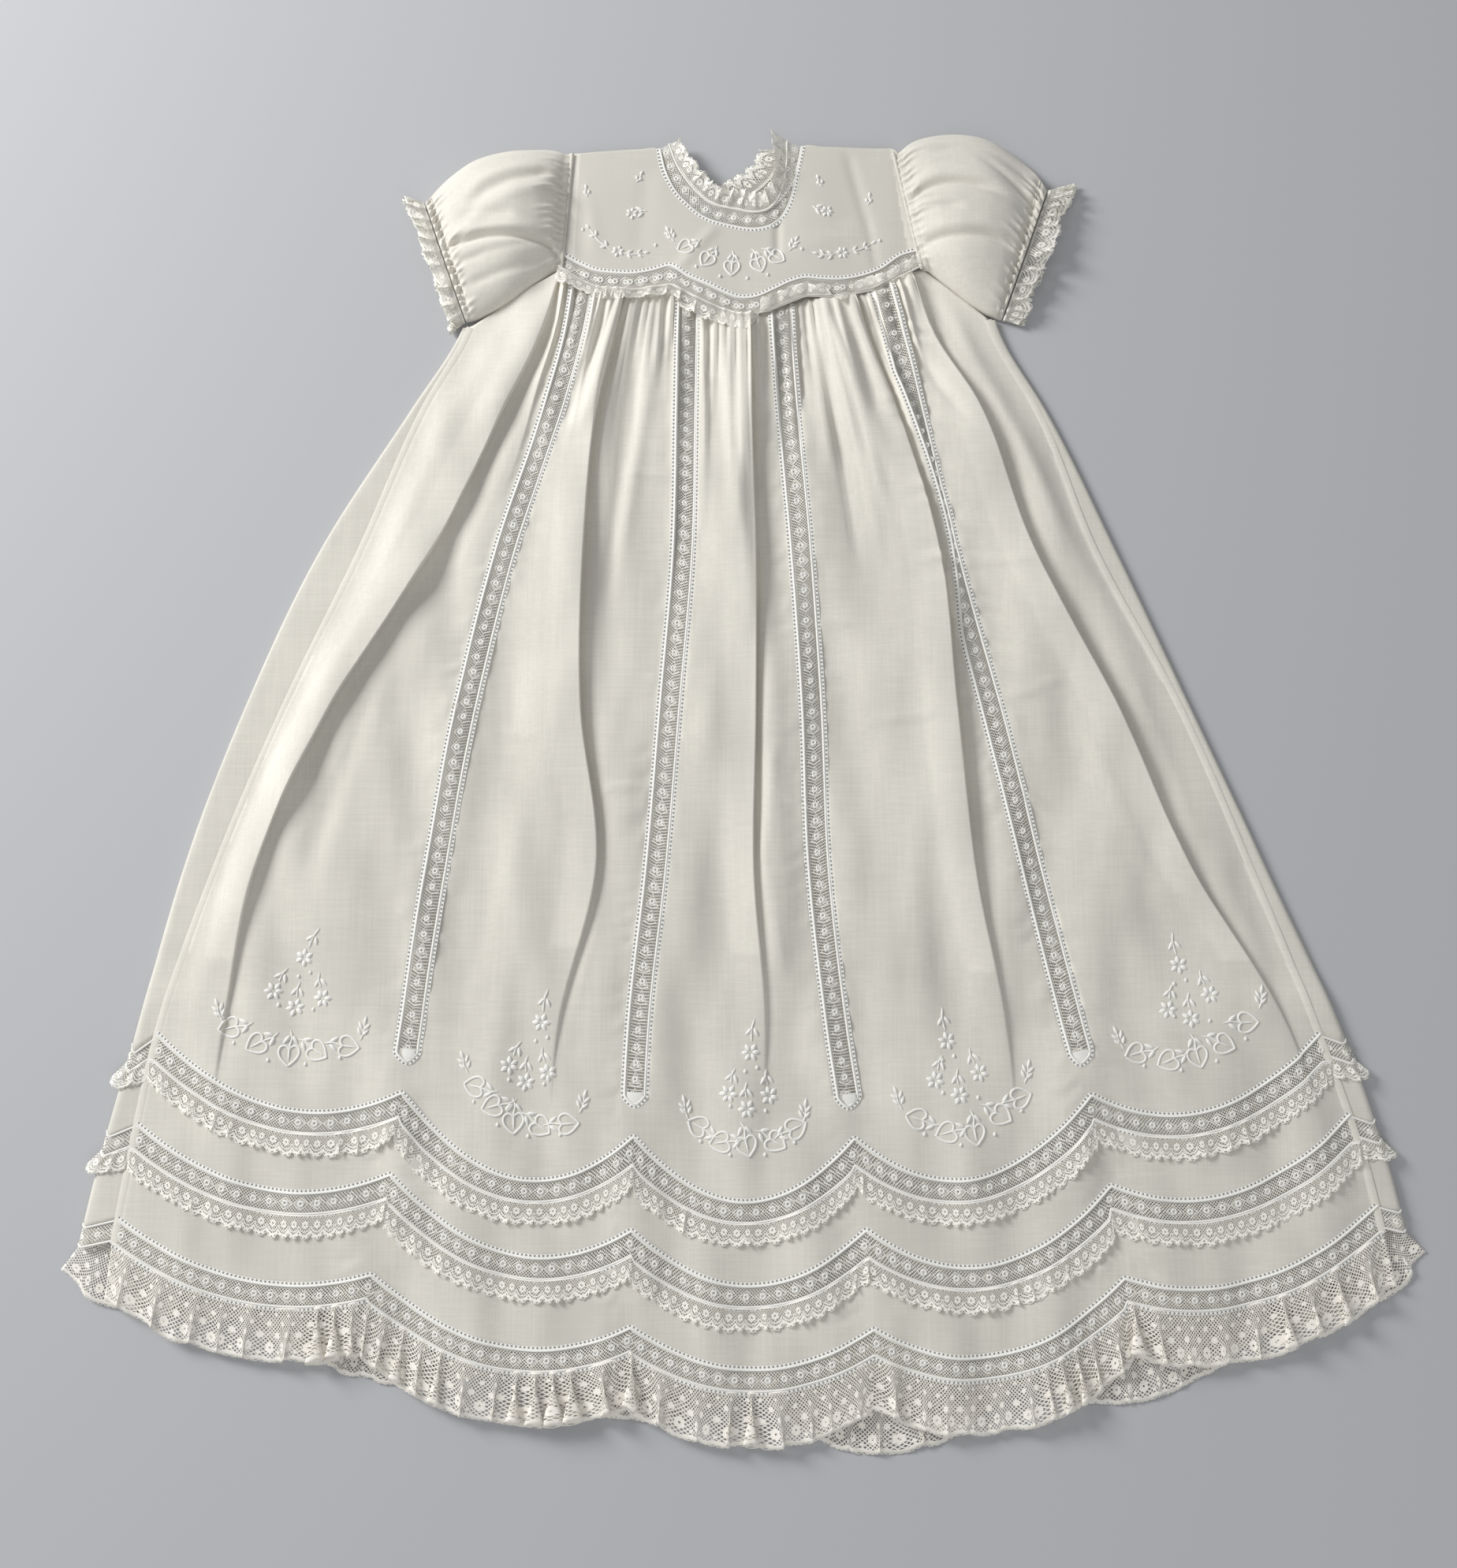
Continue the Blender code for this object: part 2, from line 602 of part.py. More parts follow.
def skirt_back():
    """The back panel, lace rows, bands and frills, mostly hidden under the front."""
    shares = back_shares()

    def heights(edge, front_edge):
        """A height for each point of the section, with the front's height on the folded sides."""
        inside = [meet(lambda y, s=s: back_x(s, y), edge, -200.0) for s in shares]
        left = meet(lambda y: line_x("seam_left", y), front_edge, -200.0)
        right = meet(lambda y: line_x("seam_right", y), front_edge, -200.0)
        return [left] * 3 + inside + [right] * 3

    tops = [
        heights(lambda x, r=r: back_row(r, x)[0], lambda x, r=r: front_row(r, x)[0])
        for r in range(3)
    ]
    feet = [[a - INSERTION for a in row] for row in tops]
    start = back_start(shares)
    end = [y + SEAM for y in tops[0]]
    sections = [
        bent_section([a + (b - a) * t for a, b in zip(start, end)], shares)
        for t in SKIRT_SHARES
    ]
    fold_solid("back_skirt", sections, BATISTE)
    for r in range(3):
        sections = [bent_section(tops[r], shares), bent_section(feet[r], shares)]
        fold_solid(f"back_insertion_{r + 1}", sections, LACE)
    for r in range(2):
        upper = [y - SEAM for y in feet[r]]
        lower = [y + SEAM for y in tops[r + 1]]
        sections = [
            bent_section([a + (b - a) * t for a, b in zip(upper, lower)], shares)
            for t in BAND_SHARES
        ]
        fold_solid(f"back_band_{r + 1}", sections, BATISTE)
        inside = upper[3:-3]
        spread = [back_x(s, y) for s, y in zip(shares, inside)]
        head = [(x, y, 0.0) for x, y in zip(spread, inside)]
        foot = [(x * EDGING_FLARE, y - EDGING, 0.0) for x, y in zip(spread, inside)]
        laid_lace(f"back_edging_{r + 1}", [head, foot])
    inside = [y - SEAM for y in feet[2][3:-3]]
    head = [(back_x(s, y), y, BAND_RAISE) for s, y in zip(shares, inside)]
    foot = [(x * HEM_FLARE, y - HEM_LACE, 0.0) for x, y, z in head]
    frill("back_hem_lace", head, foot, 3, BACK_HEM_RISE)


def back_start(shares):
    """Heights of the back panel's upper edge, from one underarm over the yoke seam to the other."""
    inside = [
        meet(lambda y, s=s: back_x(s, y), lambda x: top_edge(BACK_TOP, x), 270.0) - SEAM
        for s in shares
    ]
    left, right = (
        meet(lambda y, n=name: line_x(n, y), lambda x: top_edge(SKIRT_TOP, x), 270.0) - SEAM
        for name in ("seam_left", "seam_right")
    )
    return [left] * 3 + inside + [right] * 3


def fold_solid(name, sections, finish):
    solid(name, [outer for outer, _ in sections], [inner for _, inner in sections], finish)


def ceiling(rows, x):
    """The highest point of the cloth under a place on the gathers."""
    return max(
        z + wall
        for row in rows
        for (px, _, z), wall in zip(row, slope_wall(row))
        if abs(px - x) < GATHER_REACH
    )


def yoke_front(skirt):
    """The front yoke, with the shaped lace and its frill over the gathers below it."""
    count = len(YOKE_COLUMNS) - 1
    rows = []
    for share in YOKE_SHARES:
        row = []
        for k, (x0, y0, x1, y1) in enumerate(YOKE_COLUMNS):
            rise = YOKE_RISE * math.sin(math.pi * k / count) * (1 - 0.6 * share)
            row.append((x0 + (x1 - x0) * share, y0 + (y1 - y0) * share, TUBE_EDGE + rise))
        rows.append(row)
    laid_sheet("front_yoke", rows, BATISTE)
    head = [(x, y - SEAM, z) for x, y, z in rows[0]]
    foot = [(x, float(top_edge(SKIRT_TOP, x)) + SEAM, z) for x, y, z in head]
    for k, corner in zip((0, -1), YOKE_LACE_ENDS):
        foot[k] = (*corner, foot[k][2])
    laid_sheet("yoke_insertion", [head, foot], LACE)
    frill_head = [
        (x, y + YOKE_FRILL_OVERLAP, ceiling(skirt[:3], x) + FRILL_CLEAR) for x, y, z in foot
    ]
    frill_foot = [(x, y - YOKE_FRILL, z) for x, y, z in frill_head]
    frill("yoke_edging", frill_head, frill_foot, 2, FRILL_RISE)


def yoke_back():
    for side, table in (("left", BACK_YOKE_LEFT), ("right", BACK_YOKE_RIGHT)):
        rows = [
            [(x0 + (x1 - x0) * s, y0 + (y1 - y0) * s, 0.0) for x0, y0, x1, y1 in table]
            for s in (0, 0.5, 1)
        ]
        laid_sheet(f"back_yoke_{side}", rows, BATISTE)


def neck_lace(name, table, base):
    """The lace let in round a neckline and the edging that stands inside it."""

    def row(across, rise_share):
        return [
            (x0 + (x1 - x0) * across, y0 + (y1 - y0) * across, base + rise * rise_share)
            for x0, y0, x1, y1, rise in table
        ]

    share, gap = NECK_INSERTION / NECK_LACE, SEAM / NECK_LACE
    laid_lace(f"{name}_insertion", [row(0, 0), row(share, NECK_LIFT_SHARE)])
    laid_lace(f"{name}_edging", [row(share + gap, NECK_LIFT_SHARE), row(1, 1)])


def puff_ring(upper, lower, height, folds, rise, edge):
    """Outer and inner points round a flattened tube between its upper and lower fold."""
    (x0, y0), (x1, y1) = upper, lower
    outer, inner = [], []
    for n in range(PUFF_STEPS + 1):
        q = n / PUFF_STEPS
        bulge = math.sin(math.pi * q) ** PUFF_ROUND
        wave = math.cos(2 * math.pi * folds * q)
        z = edge + (height - edge + rise * wave) * bulge
        outer.append((q, z))
        inner.append((q, z - CLOTH * WALL_SHARE))
    rim = CLOTH / math.hypot(x1 - x0, y1 - y0)
    inner[0] = (rim, edge)
    inner[-1] = (1 - rim, edge)
    for q in UNDER_SHARES:
        outer.append((q, 0.0))
        inner.append((min(max(q, UNDER_RIM * rim), 1 - UNDER_RIM * rim), CLOTH))
    outer.append(outer[0])
    inner.append(inner[0])
    return tuple(
        [(x0 + (x1 - x0) * q, y0 + (y1 - y0) * q, z) for q, z in ring] for ring in (outer, inner)
    )


def tube(name, rings, finish):
    solid(name, [ring[0] for ring in rings], [ring[1] for ring in rings], finish, closed=True)


def sleeves():
    """Each puff from its gathered armhole to its gathered wrist, with the lace at the wrist."""
    for side, puff, cuff in (("left", SLEEVE_LEFT, CUFF_LEFT), ("right", SLEEVE_RIGHT, CUFF_RIGHT)):
        rings = []
        for n, (ux, uy, lx, ly, height) in enumerate(puff):
            at_end = n in (0, len(puff) - 1)
            folds, rise = (GATHER_COUNT, WRIST_RISE) if at_end else (SLEEVE_FOLDS, SLEEVE_FOLD_RISE)
            rings.append(puff_ring((ux, uy), (lx, ly), height, folds, rise, PUFF_EDGE))
        tube(f"sleeve_{side}", rings, BATISTE)
        rings = [
            puff_ring((ux, uy), (lx, ly), height, GATHER_COUNT, rise, CUFF_EDGE)
            for (ux, uy, lx, ly, height), rise in zip(cuff, (WRIST_RISE, CUFF_RISE))
        ]
        tube(f"cuff_lace_{side}", rings, LACE)


def main():
    clear_scene()
    skirt_back()
    skirt = skirt_front()
    yoke_back()
    yoke_front(skirt)
    neck_lace("neck_back_left", NECK_LEFT, 0.0)
    neck_lace("neck_back_right", NECK_RIGHT, 0.0)
    neck_lace("neck_front", NECK_FRONT, TUBE_EDGE)
    sleeves()


if __name__ == "__main__":
    main()
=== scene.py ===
"""Looks of a white cotton christening gown laid flat: sheer batiste, net lace and white embroidery.

Lengths in the tables are millimetres; the meshes are in metres. X runs across the gown, +Y from the
hem towards the neck and +Z up from the surface that it lies on.
"""

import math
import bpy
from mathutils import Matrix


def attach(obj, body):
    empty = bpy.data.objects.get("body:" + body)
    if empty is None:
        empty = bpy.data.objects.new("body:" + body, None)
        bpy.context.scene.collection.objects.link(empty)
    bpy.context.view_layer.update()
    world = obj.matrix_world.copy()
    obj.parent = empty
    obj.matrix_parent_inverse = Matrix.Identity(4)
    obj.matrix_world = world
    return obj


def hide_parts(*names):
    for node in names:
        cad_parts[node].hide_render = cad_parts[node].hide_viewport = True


bl_info = {
    "name": "Christening Gown",
    "version": (1, 0, 0),
    "blender": (4, 5, 0),
    "location": "View3D > Sidebar > Gown",
    "description": "Builds the cloth, lace and embroidery of a christening gown",
    "category": "Add Mesh",
}

from functools import lru_cache

import bpy
import numpy as np
from bpy.props import FloatProperty, FloatVectorProperty, PointerProperty
from mathutils import Vector
from mathutils.bvhtree import BVHTree

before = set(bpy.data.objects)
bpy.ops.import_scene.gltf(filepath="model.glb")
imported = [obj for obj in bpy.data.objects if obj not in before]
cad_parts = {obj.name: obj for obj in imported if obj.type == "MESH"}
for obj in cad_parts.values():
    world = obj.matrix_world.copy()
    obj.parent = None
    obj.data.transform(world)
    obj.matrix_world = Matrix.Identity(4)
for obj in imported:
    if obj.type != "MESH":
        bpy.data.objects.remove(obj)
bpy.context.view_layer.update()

# Driving sizes of the cut, as in the solids
MM = 0.001
CLOTH = 1.0
SEAM = 0.3
INSERTION = 10.5
EDGING = 12.5
HEM_LACE = 29.0
STRIP_HALF = 5.5
STRIP_END = 17.0
TUBE_EDGE = 2.6
EDGE_ROUND = 2.4
REST_LIFT = 2.4
LEAST_LIFT = 0.45
BAND_RAISE = 1.3
RAISE_RAMP = 24.0
BANDS_START = -132.0
BANDS_DIP = 52.0
BANDS_HALF = 330.0
MOST_SLANT = 1.45
WRAP_LEAST = 3.6
SEAM_CALM = 22.0
FADE = 0.15
STRIPS_END = -140.0

# Lines down the skirt, and its outline, at these distances towards the hem
LEVELS = (-290, -247, -203, -118, -26, 64, 150, 226, 292)
LINES = {
    "seam_left": (-147, -161, -184, -218, -258, -292, -318, -331, -340),
    "fold_1": (-107, -119, -139, -179, -234, -271, -283, -290, -296),
    "strip_1": (-91, -97, -108, -134, -154.5, -169, -180, -188, -199),
    "fold_2": (-66, -76, -86, -93.5, -94, -83, -101, -106, -110),
    "strip_2": (-30, -31, -31.5, -33, -40, -47, -56, -58.5, -59),
    "fold_3": (3, 3, 3, 4.5, 4, 4, 12, 10, 8),
    "strip_3": (23, 24.5, 27.5, 34.5, 40, 43, 52, 63, 70),
    "fold_4": (60, 71, 86, 108, 116, 126, 143, 150, 155),
    "strip_4": (79, 89.5, 99.5, 118, 141, 161, 180.5, 197, 205),
    "fold_5": (97, 110, 134, 162, 206, 245, 296, 318, 330),
    "seam_right": (138, 149, 172, 203, 248, 283, 314, 337, 349),
}
SIDE_LEFT = (-152, -165, -191, -241, -280, -310, -331, -348, -360)
SIDE_RIGHT = (143, 153, 177, 215, 254, 292, 328, 350, 362)

# Deep folds: rise of the lip, drop and width of the floor beside it, at the yoke, half way and hem
DEEP_FOLDS = (
    # line, rise, drop, width
    ("fold_1", (2.6, 4.9, 0.0), (1.4, 1.9, 0.0), (4, 21, 12)),
    ("fold_2", (2.6, 4.6, 0.0), (1.4, 1.9, 0.0), (4, 9, 10)),
    ("fold_3", (2.6, 4.8, 0.0), (1.4, 1.9, 0.0), (4, 8, 9)),
    ("fold_4", (2.6, 5.4, 0.0), (1.4, 1.9, 0.0), (5, 10, 12)),
    ("fold_5", (2.6, 5.0, 0.0), (1.4, 1.9, 0.0), (6, 20, 11)),
)
LIP_STEP = 2.6
LIP_REACH = 26.0
OVERHANG = 4.4  # how far a full lip hangs over its foot
OVERHANG_REACH = 8.0

# Soft folds and creases: straight troughs and ridges with fading ends
SOFT_FOLDS = (
    # start x, start y, end x, end y, height, half width
    (-152, 236, -300, -110, 1.6, 17),
    (-79, 262, -100, 196, -1.6, 3.0),
    (-73, 262, -94, 190, 1.4, 3.2),
    (-58, 240, -77, 96, -1.9, 4.5),
    (-50, 246, -68, 120, 1.5, 5),
    (-14, 250, 0, 186, 1.5, 6),
    (12, 110, 24, -120, 2.2, 7),
    (38, 252, 60, 168, -1.6, 3.5),
    (52, 254, 82, 172, 1.5, 5),
    (44, 247, 52, 170, 1.3, 3.0),
    (49, 235, 66, 118, -1.5, 2.6),
    (57, 249, 80, 150, 1.6, 3.2),
    (34, 244, 35, 181, -1.3, 2.2),
    (63, 246, 78, 200, -1.2, 2.2),
    (86, 259, 128, 196, -1.2, 3.0),
    (78, 70, 98, -120, 1.8, 18),
    (-125, 60, -150, -120, -1.2, 14),
    (158, 60, 214, -110, 1.6, 18),
    (128, 232, 296, -40, 1.8, 13),
    (-215, 40, -236, -110, 1.5, 13),
    (-65, 164, -39, 160, 0.9, 2.4),
    (-104, 285, -150, 190, 1.5, 6),
    (-120, 240, -190, 60, -1.1, 8),
    (112, 270, 170, 150, -1.2, 5),
    (122, 262, 205, 90, 1.2, 6),
    (17, 1, 13, -56, 1.5, 3.5),
    (13, -56, 22, -119, 1.3, 3.5),
    (-200, 60, -238, -60, -1.0, 6),
    (196, 10, 236, -92, 1.0, 7),
    (-60, 10, -72, -150, 1.1, 9),
    (100, 40, 112, -130, -1.1, 8),
    (-19, 20, -28, -120, 0.9, 9),
    (72, -10, 86, -150, 0.9, 8),
    (-76, -20, -48, -18, 0.9, 2.0),
    (-222, 112, -212, 122, 1.0, 1.8),
    (146, 30, 179, 41, 0.9, 2.2),
    (128, 111, 159, 110, 0.8, 2.0),
    (70, 17, 107, 22, 0.8, 2.2),
    (45, 74, 62, 74, 0.9, 1.8),
    (145, -15, 171, -31, 0.8, 2.2),
    (-168, 29, -146, 22, 0.9, 2.0),
    (-133, 11, -115, 9, 0.9, 1.8),
    (26, -25, 42, -33, 0.8, 1.8),
)

SKIRT_TOP = (
    # x, y
    (-158, 252), (-107, 287.5), (-95, 281), (-83, 275.5), (-65, 274), (-52, 276), (-41, 278),
    (-18, 265.5), (0, 258), (16, 261), (38, 270.5), (57, 270), (81, 275.5), (95, 284), (107, 289),
    (149, 254),
)

# Upper edges of the shaped rows of lace: height at the six peaks, depth of the five scallops
FRONT_ROWS = (
    # peaks, depths
    ((-155, -187, -210, -211, -188, -155), (24, 34, 34, 33, 25)),
    ((-203, -230, -259, -259, -236, -198), (21, 27, 29, 30, 23)),
    ((-253, -282, -309, -310, -284, -246), (17, 23, 21, 26, 20)),
)
PEAK_LINES = ("seam_left", "strip_1", "strip_2", "strip_3", "strip_4", "seam_right")
BACK_PEAK_SHARES = (0.0, 0.13, 0.325, 0.51, 0.70, 0.88, 1.0)
# The back's lowest row: heights at its peaks and depths of its scallops; the others are higher
BACK_ROW = ((-253, -266, -290, -302, -298, -274, -246), (6, 20, 22, 34, 22, 6))
BACK_RISES = (98, 49, 0)
# Fall of the back's rows from the seams out to the folded sides, at distances towards the hem
FALL_LEVELS = (40, 155, 203, 253, 300)
SIDE_FALLS = {"seam_left": (0, 10.5, 7.0, 4.5, 3.0), "seam_right": (0, 5.5, 5.0, 3.5, 2.0)}
BACK_TOP = ((-158, 252), (-107, 288), (-100, 286), (100, 286), (107, 289), (149, 254))

YOKE_COLUMNS = (
    # lower x, lower y, upper x, upper y
    (-104.3, 297, -101.8, 361), (-93, 290.5, -90, 362), (-83, 286.5, -76, 363),
    (-65, 285, -60, 364), (-52, 287, -48.3, 364), (-41, 289.5, -45, 350), (-31, 283, -39, 337),
    (-18, 277, -30, 327), (-9, 272.5, -20, 319.5), (0, 269.5, -6, 315), (10, 270.5, 9, 313),
    (20, 275, 22, 317.5), (29, 279.5, 30, 330), (38, 282, 34, 350), (48, 281.3, 37.3, 365.5),
    (60, 281.5, 50, 365.5), (72, 284, 66, 365), (83, 288.5, 80, 364.5), (94, 296.5, 92.6, 363.5),
    (105, 300, 95, 352),
)
YOKE_RISE = 2.2
YOKE_LACE_ENDS = ((-106.3, 288.6), (106.6, 290.2))
FRILL_TURNS = (
    # x, share of the frill's width that hangs down; it is folded up where the share is below zero
    (-110, 0.9), (-70, 1.0), (-38, 0.75), (-28, 1.05), (6, 1.0), (15, -0.75), (50, -0.85),
    (57, 0.75), (62, 0.6), (67, -0.7), (110, -0.8),
)
YOKE_CREASES = (
    # start x, start y, end x, end y, height, half width
    (22, 318, 22, 297, -1.1, 2.4),
    (-15, 314, -38, 286, 0.8, 3.5),
    (64, 360, 75, 316, -0.8, 3.2),
    (75, 318, 80, 288, -0.7, 3.0),
    (-96, 350, -84, 300, 0.5, 5),
    (-55, 350, -60, 300, -0.4, 6),
    (30, 300, 70, 310, 0.4, 6),
)

NECK_FRONT = (
    # seam x, seam y, free x, free y, rise
    (-47.9, 364.4, -37, 369.5, 3.0), (-44.4, 350, -31, 357, 4.0), (-38.4, 337.5, -23, 347, 4.0),
    (-29.6, 327.6, -16, 339, 3.5), (-19.8, 320.1, -10, 336, 3.0), (-6, 315.7, 0, 335, 2.5),
    (8.6, 313.7, 8, 333, 3.0), (21.2, 318, 14, 334, 4.5), (29, 330, 19, 341, 6.0),
    (33.4, 350, 21, 353, 6.0), (36.6, 365.8, 19, 371, 5.0),
)
NECK_LEFT = (
    (-47.9, 364.4, -37.5, 368.5, 0.2), (-45, 350, -33, 357, 0.2), (-37, 336, -27, 349, 0.2),
    (-28.5, 327, -20.5, 342, 0.2),
)
NECK_RIGHT = (
    (36.6, 365.8, 13.5, 366, 0.2), (33, 347, 8.5, 354.5, 0.2), (22, 331, -1, 347, 0.2),
    (5, 321, -9, 342, 0.2), (-13, 318, -14.5, 337.5, 0.2),
)
BACK_YOKE_LEFT = (
    # lower x, lower y, upper x, upper y
    (-106.4, 288.6, -101.8, 361), (-88, 286.6, -76, 363), (-70, 286.6, -48.3, 364.3),
    (-55, 286.6, -45.4, 349.8), (-38, 286.6, -37.5, 335.5), (-20.5, 286.6, -28.8, 326.4),
    (-19.5, 286.6, -19.5, 321),
)
BACK_YOKE_RIGHT = (
    (-16.5, 286.6, -16.5, 317.4), (-4, 286.6, -12.6, 317.4), (14, 286.6, 5.3, 320.4),
    (32, 286.6, 22.4, 330.5), (50, 286.6, 33.5, 346.8), (66, 286.6, 37.1, 365.8),
    (84, 286.6, 66, 365), (106.3, 289.8, 92.6, 363.5),
)
NECK_SHARE = 0.5  # share of the neck lace's width that is insertion
NECK_LACE = 9.5  # widths of the two laces round the neck
NECK_FRILL = 11.0
NECK_LACES = (
    # name, stations, height of what it lies on, steps along it
    ("neck_front", NECK_FRONT, TUBE_EDGE, 260), ("neck_back_left", NECK_LEFT, 0.0, 90),
    ("neck_back_right", NECK_RIGHT, 0.0, 120),
)

SLEEVE_LEFT = (
    # upper x, upper y, lower x, lower y, height
    (-102.5, 361, -107.7, 290, 10.5), (-111, 363.5, -112, 287.5, 13.0),
    (-123, 363.5, -119, 282, 16.0), (-139, 362, -129, 274.8, 18.5), (-157, 356.5, -140, 267, 18.5),
    (-172, 346, -150, 260, 16.0), (-182, 336, -156, 256.5, 13.0), (-186.5, 330, -160.5, 255.5, 11.5),
)
SLEEVE_RIGHT = (
    (93.6, 361.5, 108.6, 291, 10.5), (102, 368.5, 113.5, 287, 13.0), (115, 372.5, 120, 281.5, 16.0),
    (131, 373, 128.5, 274.3, 18.5), (148, 369, 137, 267, 18.5), (164, 359, 145, 260.5, 16.0),
    (176, 348, 150, 257.5, 13.0), (182, 338, 153, 257, 11.5),
)
CUFF_LEFT = ((-187.2, 330.5, -161.2, 255.3, 11.0), (-199.5, 333.5, -170.0, 250.5, 10.5))
CUFF_RIGHT = ((182.7, 338.3, 153.7, 256.8, 11.0), (199.5, 341.5, 166.0, 254.5, 10.5))
ARMHOLE_LAP = 2.6  # how far the sleeve's seam reaches over the yoke
SLEEVE_FOLDS = {
    # start along, start across, end along, end across, height, half width; along runs from the
    # armhole to the wrist and across from the upper fold to the lower, both 0 to 1
    "left": (
        (0.04, 0.79, 0.94, 0.38, 1.5, 0.055), (0.03, 0.845, 0.90, 0.450, -3.6, 0.026),
        (0.04, 0.90, 0.94, 0.52, 1.0, 0.045), (0.10, 0.16, 0.60, 0.22, 1.1, 0.050),
        (0.20, 0.25, 0.62, 0.31, -1.8, 0.048), (0.15, 0.34, 0.70, 0.44, 1.1, 0.060),
        (0.44, 0.50, 0.70, 0.34, -0.8, 0.028), (0.10, 0.66, 0.75, 0.54, 0.8, 0.050),
        (0.35, 0.74, 0.90, 0.62, -1.0, 0.030), (0.10, 0.94, 0.80, 0.78, -1.2, 0.035),
    ),
    "right": (
        (0.0, 0.38, 0.78, 0.25, 1.7, 0.050), (0.0, 0.455, 0.62, 0.33, -2.6, 0.030),
        (0.0, 0.58, 0.42, 0.50, -1.5, 0.028), (0.30, 0.44, 0.80, 0.36, 1.2, 0.055),
        (0.0, 0.73, 0.86, 0.50, 1.4, 0.045), (0.02, 0.80, 0.88, 0.56, -2.2, 0.028),
        (0.05, 0.90, 0.90, 0.70, 0.9, 0.050), (0.30, 0.14, 0.90, 0.10, -1.2, 0.035),
        (0.55, 0.20, 0.92, 0.24, -1.2, 0.030),
    ),
}
WRIST_GATHER = 0.90  # where the wrist is drawn in, along the sleeve
SLEEVE_TUCK = 3.2  # how far the lower fold reaches to the side of the skirt

# Embroidery: each group on the skirt has four flowers on stems, five heart leaves and two sprigs
GROUPS = (
    # flowers: x, y, turn of the stem; hearts: x, y, turn of the tip; sprigs: x, y, turn
    (
        ((-240, -114, 64), (-256, -132, 62), (-244, -141, 83), (-229, -136, 100)),
        ((-279, -152, 192), (-264, -161, 208), (-246, -167, 268), (-230, -165, -32), (-213, -162, -8)),
        ((-284, -143, 112), (-206, -153, 78)),
    ),
    (
        ((-109, -149, 80), (-126, -172, 66), (-117, -181, 88), (-105, -176, 104)),
        ((-145, -183, 168), (-135, -194, 196), (-123, -203, 272), (-108, -205, -36), (-93, -203, 4)),
        ((-150, -171, 112), (-86, -192, 74)),
    ),
    (
        ((5, -165, 84), (-7, -187, 76), (3, -195, 92), (15, -188, 98)),
        ((-24, -204, 152), (-12, -213, 190), (3, -215, 284), (19, -213, -30), (30, -205, 26)),
        ((-30, -195, 104), (34, -197, 82)),
    ),
    (
        ((112, -159, 98), (105, -180, 74), (118, -188, 94), (129, -176, 112)),
        ((94, -200, 164), (110, -208, 198), (126, -209, 280), (141, -199, -28), (152, -189, 20)),
        ((85, -190, 110), (155, -176, 76)),
    ),
    (
        ((240, -118, 100), (233, -142, 78), (245, -147, 92), (256, -134, 112)),
        ((214, -166, 196), (231, -170, 206), (248, -168, 286), (263, -161, -20), (276, -149, 2)),
        ((206, -158, 114), (283, -136, 80)),
    ),
)
YOKE_FLOWERS = ((-64, 323, 12), (51, 324, 160), (-72, 299, 200), (60, 298, -20))
YOKE_HEARTS = ((-33, 301, 205), (-20, 293, 235), (-5, 288, 268), (11, 290, 292), (22, 295, 330))
YOKE_TWIGS = (
    # x, y, turn, length
    (-60, 346, 62, 8), (-91, 337, 100, 8), (47, 343, 112, 8), (76, 332, 80, 8),
    (-41, 309, 118, 11), (31, 303, 60, 11),
)
YOKE_BRANCHES = (
    ((-76, 300), (-83, 305), (-89, 313)), ((-69, 298), (-63, 297), (-57, 298)),
    ((56, 297), (51, 296), (46, 297)), ((64, 299), (70, 300), (77, 304)),
)
YOKE_DOTS = ((36, 300), (82, 306), (-50, 303), (-93, 313), (-26, 289), (16, 284), (-12, 283), (4, 282))
HEART = (
    # along from the notch to the tip, across
    (1.7, 0.0), (0.5, 1.3), (0.0, 3.0), (0.8, 4.6), (2.6, 5.4), (4.7, 5.2), (6.8, 4.1), (8.9, 2.2),
    (10.8, 0.0),
)


# Settings that a user would change

class GownSizes(bpy.types.PropertyGroup):
    net_mesh: FloatProperty(
        name="Net mesh", description="Width of one diamond of the lace's net",
        default=0.0017, min=0.0008, max=0.004, unit="LENGTH",
    )
    motif_pitch: FloatProperty(
        name="Flower pitch", description="Distance from one ring flower to the next",
        default=0.0088, min=0.005, max=0.03, unit="LENGTH",
    )
    gather_height: FloatProperty(
        name="Gather height", description="Height of the gathers under the yoke",
        default=0.0036, min=0.0, max=0.006, unit="LENGTH",
    )
    cloth_wall: FloatProperty(
        name="Cloth", description="Thickness of the batiste", default=0.0004,
        min=0.0001, max=0.001, unit="LENGTH",
    )
    lace_wall: FloatProperty(
        name="Lace", description="Thickness of the lace", default=0.0002,
        min=0.0001, max=0.001, unit="LENGTH",
    )


class GownColours(bpy.types.PropertyGroup):
    batiste: FloatVectorProperty(
        name="Batiste", description="Colour of the sheer cotton", subtype="COLOR",
        default=(0.82, 0.785, 0.70), size=3, min=0, max=1,
    )
    lace: FloatVectorProperty(
        name="Lace", description="Colour of the narrow lace", subtype="COLOR",
        default=(0.95, 0.912, 0.83), size=3, min=0, max=1,
    )
    hem_lace: FloatVectorProperty(
        name="Hem lace", description="Colour of the wide lace, a little aged", subtype="COLOR",
        default=(0.93, 0.888, 0.81), size=3, min=0, max=1,
    )
    thread: FloatVectorProperty(
        name="Thread", description="Colour of the embroidery and the stitching", subtype="COLOR",
        default=(1.0, 0.985, 0.93), size=3, min=0, max=1,
    )
    floor: FloatVectorProperty(
        name="Floor", description="Colour of the plain floor", subtype="COLOR",
        default=(0.53, 0.535, 0.55), size=3, min=0, max=1,
    )


def sizes():
    return bpy.context.scene.gown_sizes


def colours():
    return bpy.context.scene.gown_colours


# Curves and outlines

